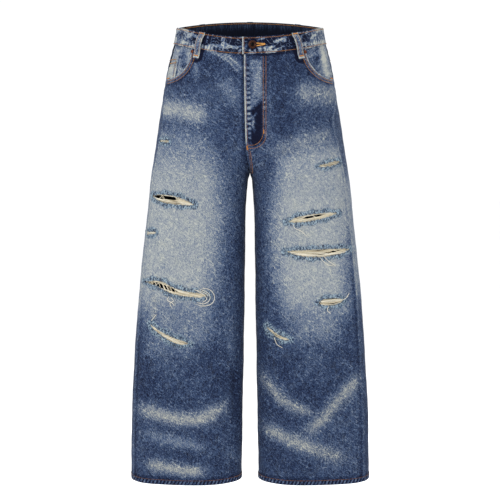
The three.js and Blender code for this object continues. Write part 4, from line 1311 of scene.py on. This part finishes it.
def back_stitches(rows):
    for side in (LEFT, RIGHT):
        share = np.linspace(0.01, 0.985, 60)
        for below in (2.5, 8.5):
            h = yoke_seam(share) + below
            place, normal = cloth(side, back_angle(side, h, share), h, 0.3)
            rows.row(place, normal)
        outline = pocket_outline(side)
        for margin in (2.2, 8.2):
            ring = inset(outline, margin)
            path = dense([ring[1], ring[2], ring[3], ring[4], ring[0]], 14)
            rows.on_face(side, BACK, path, lift=POCKET_LIFT + DENIM + 0.75)
        near, far = inset(outline, 3.0)[:2]
        for margin in (3.0, 13.0):
            level = inset(outline, margin)[:2, 1]
            rows.on_face(side, BACK, dense([(near[0], level[0]), (far[0], level[1])], 14),
                         lift=POCKET_LIFT + DENIM + 0.8)
    h = np.linspace(YOKE_CENTRE - 76, CROTCH - 4, 70)
    for off in (2.5, 8.5):
        centre_seam = np.stack([np.full(h.shape, off), -h + BACK_RISE * waist_tilt(h)], -1)
        rows.on_face(LEFT, BACK, centre_seam)


def hem_stitches(rows):
    for side in (LEFT, RIGHT):
        angle = np.linspace(-math.pi + 0.02, math.pi - 0.02, 400)
        h = np.full(angle.shape, OUTSEAM - 11.0)
        place, normal = cloth(side, angle, h, 0.75)
        rows.row(place, normal, radius=0.5, tone=0.15)


def loop_stitches(rows, tacks):
    for _, side, face, top_x, bottom_x in LOOPS:
        h = np.linspace(3, 56, 40)
        for off in (-4.4, 4.4):
            place, normal = loop_point(side, face, top_x, bottom_x, h, np.full(h.shape, off), 0.3)
            rows.row(place, normal, tone=0.3)
        for height in (2.0, 53.5):
            across = np.linspace(-5.6, 5.6, 12)
            place, normal = loop_point(side, face, top_x, bottom_x, np.full(12, height), across, 0.4)
            tacks.bar(place, normal, 2.6)


def tack_stitches(tacks):
    for side in (LEFT, RIGHT):
        tacks.on_face(side, FRONT, dense([(side * 185, -117), (side * 191, -118)], 6), lift=0.4, bar=2.2)
        for x, z in ((44, -127), (160, -123.5)):
            tacks.on_face(side, BACK, dense([(side * x, z), (side * x, z - 9)]),
                          lift=POCKET_LIFT + DENIM + 0.9, bar=2.4)
    tacks.on_face(LEFT, FRONT, dense([(-7, -272), (-6, -282)]), lift=0.5, bar=2.6)
    tacks.on_face(LEFT, FRONT, dense([(31, -236), (31, -245)]), lift=0.5, bar=2.4)


def buttonhole_stitches(tacks):
    """Close stitches round the slit, at right angles to it."""
    x = np.linspace(12, SLIT_END + 1, 24)
    for edge in (-1, 1):
        h = BUTTON_H + edge * (3.2 - 2.4 * (x - 12) / (SLIT_END - 12))
        angle = angle_at_x(LEFT, FRONT, x, h)
        place, normal = cloth(LEFT, angle, h, BAND_LIFT + LAP_RAISE + 0.3)
        tacks.bar(place, normal, 2.4, tone=0.95, pitch=0.9)


# ---- Threads of the rips ----

STRAND_POINTS = 16


def on_front(side, x, z, lift):
    angle, h = find(side, FRONT, x, z)
    return cloth(side, angle, h, lift)


def weft_strands(rip):
    """Threads that cross the slit from tip to tip, in bundles, round the window left bare."""
    count = rip.strands
    level = (np.arange(count) + 0.5) / count
    level = level + 0.32 / count * np.sin(np.arange(count) * 2.4) + 0.2 / count * rng.standard_normal(count)
    first = 0.02 + 0.10 * rng.random(count) ** 2
    last = 0.98 - 0.10 * rng.random(count) ** 2
    share = first[:, None] + (last - first)[:, None] * np.linspace(0, 1, STRAND_POINTS)
    upper, lower = rip.edges(share)
    distance = lower + (upper - lower) * level[:, None]
    wave = rng.random((count, 2)) * 6.3
    room = np.minimum(1, (upper - lower) / 8)
    distance = distance + 0.5 * np.sin(share * rip.length / 9 + wave[:, :1]) * room
    if rip.bare:
        start, end, low, high, climb = rip.bare
        within = smooth((share - start) / 0.10) * smooth((end - share) / 0.10)
        low, high = (edge + climb * (share - start) / (end - start) for edge in (low, high))
        middle = (low + high) / 2
        edge = np.where(distance > middle, high + 0.12 * (distance - high), low + 0.3 * (distance - low))
        pushed = (distance < high) & (distance > low)
        distance = np.where(pushed, distance + (edge - distance) * within, distance)
    lift = -0.9 - 0.7 * np.sin(math.pi * share) + 0.55 * np.sin(share * rip.length / 13 + wave[:, 1:])
    x, z = rip.world(share, distance)
    # The tones vary the cream from strand to strand, and the low ones are painted shade, the tan shadows
    # between bundles.
    tone = 0.62 + 0.3 * np.sin(np.arange(count) * 1.9) + 0.2 * rng.standard_normal(count)
    return (*on_front(rip.side, x, z, lift), tone)


def ladder_strands(rip):
    """A few short threads that cross the bare window aslant."""
    start, end, low, high, climb = rip.bare
    count = rip.rungs
    share = np.linspace(start + 0.05, end - 0.07, count)[:, None] + np.linspace(0, 0.06, STRAND_POINTS)
    distance = np.linspace(low - 1.5, high + 1.5, STRAND_POINTS) + climb * (share - start) / (end - start)
    x, z = rip.world(share[:, ::-1], distance)
    return (*on_front(rip.side, x, z, -0.9 + 0 * x), 0.5 + 0.5 * rng.random(count))


def border_strands(rip):
    """Short stubs of blue warp along both edges and round the tips."""
    paths = []
    tones = []
    for edge in (1, -1):
        count = int(rip.length / 1.15)
        share = np.linspace(-0.02, 1.02, count) + 0.3 / count * rng.standard_normal(count)
        upper, lower = rip.edges(np.clip(share, 0.001, 0.999))
        rim = np.where(edge > 0, upper, lower)
        outward = rip.border * (0.35 + 0.6 * rng.random(count))
        inward = 0.6 + 2.2 * rng.random(count) ** 2
        lean = (0.3 + 0.9 * rng.standard_normal(count)) * 2.2 / rip.length
        t = np.linspace(0, 1, 5)
        distance = rim[:, None] + edge * (outward[:, None] * (1 - t) - inward[:, None] * t)
        along_it = share[:, None] + lean[:, None] * t + 0.6 / rip.length * np.sin(5 * t + share[:, None] * 60)
        lift = 0.25 + 1.1 * np.sin(math.pi * t) - 1.1 * t + 0 * distance
        x, z = rip.world(along_it, distance)
        paths.append(on_front(rip.side, x, z, lift))
        tones.append(np.where(rng.random(count) < 0.5, 0.05, 0.85) + 0.3 * (rng.random(count) - 0.5))
    return np.vstack([p for p, _ in paths]), np.vstack([n for _, n in paths]), np.concatenate(tones)


# Threads that have come loose: side, x and z of their points, how far the middle stands out.
LOOSE = [
    (RIGHT, [(-112, -598), (-92, -602), (-82, -618), (-88, -634), (-108, -640), (-124, -636)], 3),
    (RIGHT, [(-118, -600), (-98, -608), (-92, -622), (-104, -634), (-122, -632)], 4),
    (RIGHT, [(-124, -604), (-108, -612), (-100, -624), (-110, -632)], 3),
    (RIGHT, [(-130, -602), (-112, -606), (-100, -612), (-96, -620)], 2),
    (RIGHT, [(-186, -618), (-190, -626), (-180, -632), (-174, -640)], 3),
    (RIGHT, [(-182, -620), (-176, -628), (-184, -634), (-180, -644)], 3),
    (RIGHT, [(-228, -676), (-222, -668), (-216, -660)], 2),
    (LEFT, [(98, -448), (103, -460), (118, -467), (132, -481)], 2),
    (LEFT, [(160, -527), (168, -536), (180, -545), (191, -545)], 3),
    (LEFT, [(168, -524), (178, -534), (190, -543), (197, -548)], 3),
    (LEFT, [(56, -712), (60, -722), (64, -730), (76, -738)], 2),
    (LEFT, [(203, -628), (218, -624), (229, -611)], 2),
    (LEFT, [(182, -640), (178, -650), (186, -658)], 2),
]


def loose_strands():
    paths, normals = [], []
    for side, points, out in LOOSE:
        path = curve(points, 8)
        at = np.linspace(0, len(path) - 1, STRAND_POINTS)
        x, z = (np.interp(at, np.arange(len(path)), path[:, k]) for k in (0, 1))
        lift = 0.2 + out * np.sin(math.pi * np.linspace(0, 1, STRAND_POINTS))
        place, normal = on_front(side, x, z, lift)
        paths.append(place)
        normals.append(normal)
    return np.stack(paths), np.stack(normals)


def rip_threads():
    wefts = [weft_strands(rip) for rip in RIPS] + [ladder_strands(rip) for rip in RIPS if rip.rungs]
    paths, normals, tones = (np.concatenate(parts) for parts in zip(*wefts))
    from_start = np.linspace(0, 1, STRAND_POINTS)
    ends = np.minimum(1, 0.45 + 6 * np.minimum(from_start, 1 - from_start))
    tubes("weft_threads", paths, normals, 0.62 * ends, WEFT_YARN_WITH_SHADE, tones)
    borders = [border_strands(rip) for rip in RIPS]
    paths, normals, tones = (np.concatenate(parts) for parts in zip(*borders))
    radii = 0.55 * np.array([0.6, 1, 1, 1, 0.5])
    tubes("frayed_stubs", paths, normals, radii, FRAY_YARN, tones, 4)
    paths, normals = loose_strands()
    tubes("loose_threads", paths, normals, 0.6 * ends, WEFT_YARN_WITH_SHADE, np.full(len(paths), 0.95))


# ---- Metal ----


def lathe(name, profile, side, x, h, material, node, segments=48):
    """A turned part that stands on the form. The profile is (radius, lift) pairs."""
    angle = angle_at_x(side, FRONT, x, h)
    centre = body_point(side, angle, np.float64(h))
    normal = body_normal(side, angle, np.float64(h))
    across = unit(np.cross(normal, [0.0, 0.0, 1.0]))
    up = np.cross(normal, across)
    turn = 2 * math.pi * np.arange(segments) / segments
    radii, lifts = np.asarray(profile, float).T
    ring = across * np.cos(turn)[:, None] + up * np.sin(turn)[:, None]
    inner = profile[1:-1]
    points = centre + normal * lifts[1:-1, None, None] + ring[None] * radii[1:-1, None, None]
    ends = [centre + normal * lifts[0], centre + normal * lifts[-1]]
    index = np.arange(len(inner) * segments).reshape(len(inner), segments)
    a, b = index[:-1], index[1:]
    walls = np.stack([a, b, np.roll(b, -1, 1), np.roll(a, -1, 1)], -1).reshape(-1, 4).tolist()
    first, last = index.size, index.size + 1
    fans = [(first, index[0, k], index[0, (k + 1) % segments]) for k in range(segments)]
    fans += [(last, index[-1, (k + 1) % segments], index[-1, k]) for k in range(segments)]
    vertices = np.vstack([points.reshape(-1, 3), ends])
    piece = make_object(name, vertices, walls + [[int(k) for k in f] for f in fans], [material], sharp=40)
    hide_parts(node)


def button():
    inside = BAND_LIFT - LAP_DROP - BAND_THICKNESS - SEAM_GAP
    under_end = BAND_LIFT - LAP_DROP + SEAM_GAP
    cap = BAND_LIFT + LAP_RAISE + 0.8
    profile = [
        (0, inside - 1.3), (4.2, inside - 1.3), (4.5, inside - 1.0), (4.5, inside), (1.2, inside),
        (1.2, under_end), (3.5, under_end), (3.5, cap), (8.6, cap), (9.3, cap + 0.4), (9.5, cap + 1.0),
        (9.3, cap + 1.7), (8.6, cap + 2.4), (7.6, cap + 2.8), (6.6, cap + 2.9), (6.0, cap + 2.6),
        (5.6, cap + 2.1), (4.6, cap + 1.9), (0, cap + 1.9),
    ]
    lathe("button", profile, LEFT, BUTTON_X, BUTTON_H, DARK_COPPER, "waist_button")
    # The dark centre is painted shade: black enamel stands in for the shade in the button's hollow.
    eye = [
        (0, cap + 1.6), (4.4, cap + 1.6), (4.3, cap + 2.2), (3.6, cap + 2.8), (2.0, cap + 3.2),
        (0, cap + 3.3),
    ]
    lathe("button_hollow_painted_shade", eye, LEFT, BUTTON_X, BUTTON_H, HOLLOW_SHADE_ENAMEL, "waist_button", 32)


def rivet(side):
    inside = FACING_LIFT[side] - THIN_DENIM - SEAM_GAP
    profile = [
        (0, inside - 0.9), (2.7, inside - 0.9), (3, inside - 0.6), (3, inside), (1.1, inside),
        (1.1, SEAM_GAP), (3.6, SEAM_GAP), (3.9, 0.6), (3.8, 1.0), (3.3, 1.5), (2.4, 1.7), (1.9, 1.9),
        (1.5, 2.25), (0.9, 2.4), (0, 2.3),
    ]
    lathe(f"rivet_cap_{HANDS[side]}", profile, side, RIVET_X[side], RIVET_H, COPPER,
          f"rivet_{HANDS[side]}", 32)


# ---- The garment ----

for hand in (RIGHT, LEFT):
    front_panel(hand)
    back_panel(hand)
    yoke(hand)
    back_pocket(hand)
    facing(hand)
    rivet(hand)
coin_pocket()
waistband()
for loop in LOOPS:
    belt_loop(*loop)
button()
rip_threads()

seams = Stitching("stitching", STITCH_YARN)
bright = Stitching("bar_tacks", TACK_YARN)
band_stitches(seams)
front_stitches(seams)
back_stitches(seams)
hem_stitches(seams)
loop_stitches(seams, bright)
tack_stitches(bright)
buttonhole_stitches(bright)
seams.make()
bright.make()

# ---- Studio ----

LOOK_AT = Vector((0, 0, -515.4 * MM))
DISTANCE = 3.4
ELEVATION = math.radians(4)
FRAME_WIDTH = 1.17
FLOOR_Z = -1.45


def aimed(data, place, target):
    item = bpy.data.objects.new(data.name, data)
    item.location = place
    item.rotation_euler = (target - place).to_track_quat("-Z", "Y").to_euler()
    bpy.context.scene.collection.objects.link(item)
    return item


def camera():
    data = bpy.data.cameras.new("camera")
    data.sensor_width = 36
    data.lens = data.sensor_width * DISTANCE / FRAME_WIDTH
    place = LOOK_AT + DISTANCE * Vector((0, -math.cos(ELEVATION), math.sin(ELEVATION)))
    bpy.context.scene.camera = aimed(data, place, LOOK_AT)


def light(name, place, size, power):
    data = bpy.data.lights.new(name, "AREA")
    data.shape = "SQUARE"
    data.size = size
    data.energy = power
    aimed(data, Vector(place), LOOK_AT)


def studio():
    world = bpy.data.worlds.new("studio")
    world.use_nodes = True
    sky = world.node_tree.nodes["Background"]
    sky.inputs["Color"].default_value = (1, 1, 1, 1)
    sky.inputs["Strength"].default_value = 1.05
    bpy.context.scene.world = world
    light("key", (-1.8, -2.6, 1.5), 1.4, 70)
    light("fill", (2.4, -2.2, 0.3), 2.0, 16)
    light("back", (0.9, 2.6, 1.4), 1.6, 70)
    bpy.context.scene.view_settings.view_transform = "Standard"
    graph = Graph("floor", 0.9)
    graph.put(colour(252, 252, 252, light=1), graph.shader.inputs["Base Color"])
    mesh = bpy.data.meshes.new("floor")
    reach = 30
    mesh.from_pydata([(-reach, -reach, FLOOR_Z), (reach, -reach, FLOOR_Z), (reach, reach, FLOOR_Z),
                      (-reach, reach, FLOOR_Z)], [], [(0, 1, 2, 3)])
    mesh.materials.append(graph.material)
    floor = bpy.data.objects.new("floor", mesh)
    bpy.context.scene.collection.objects.link(floor)


camera()
studio()
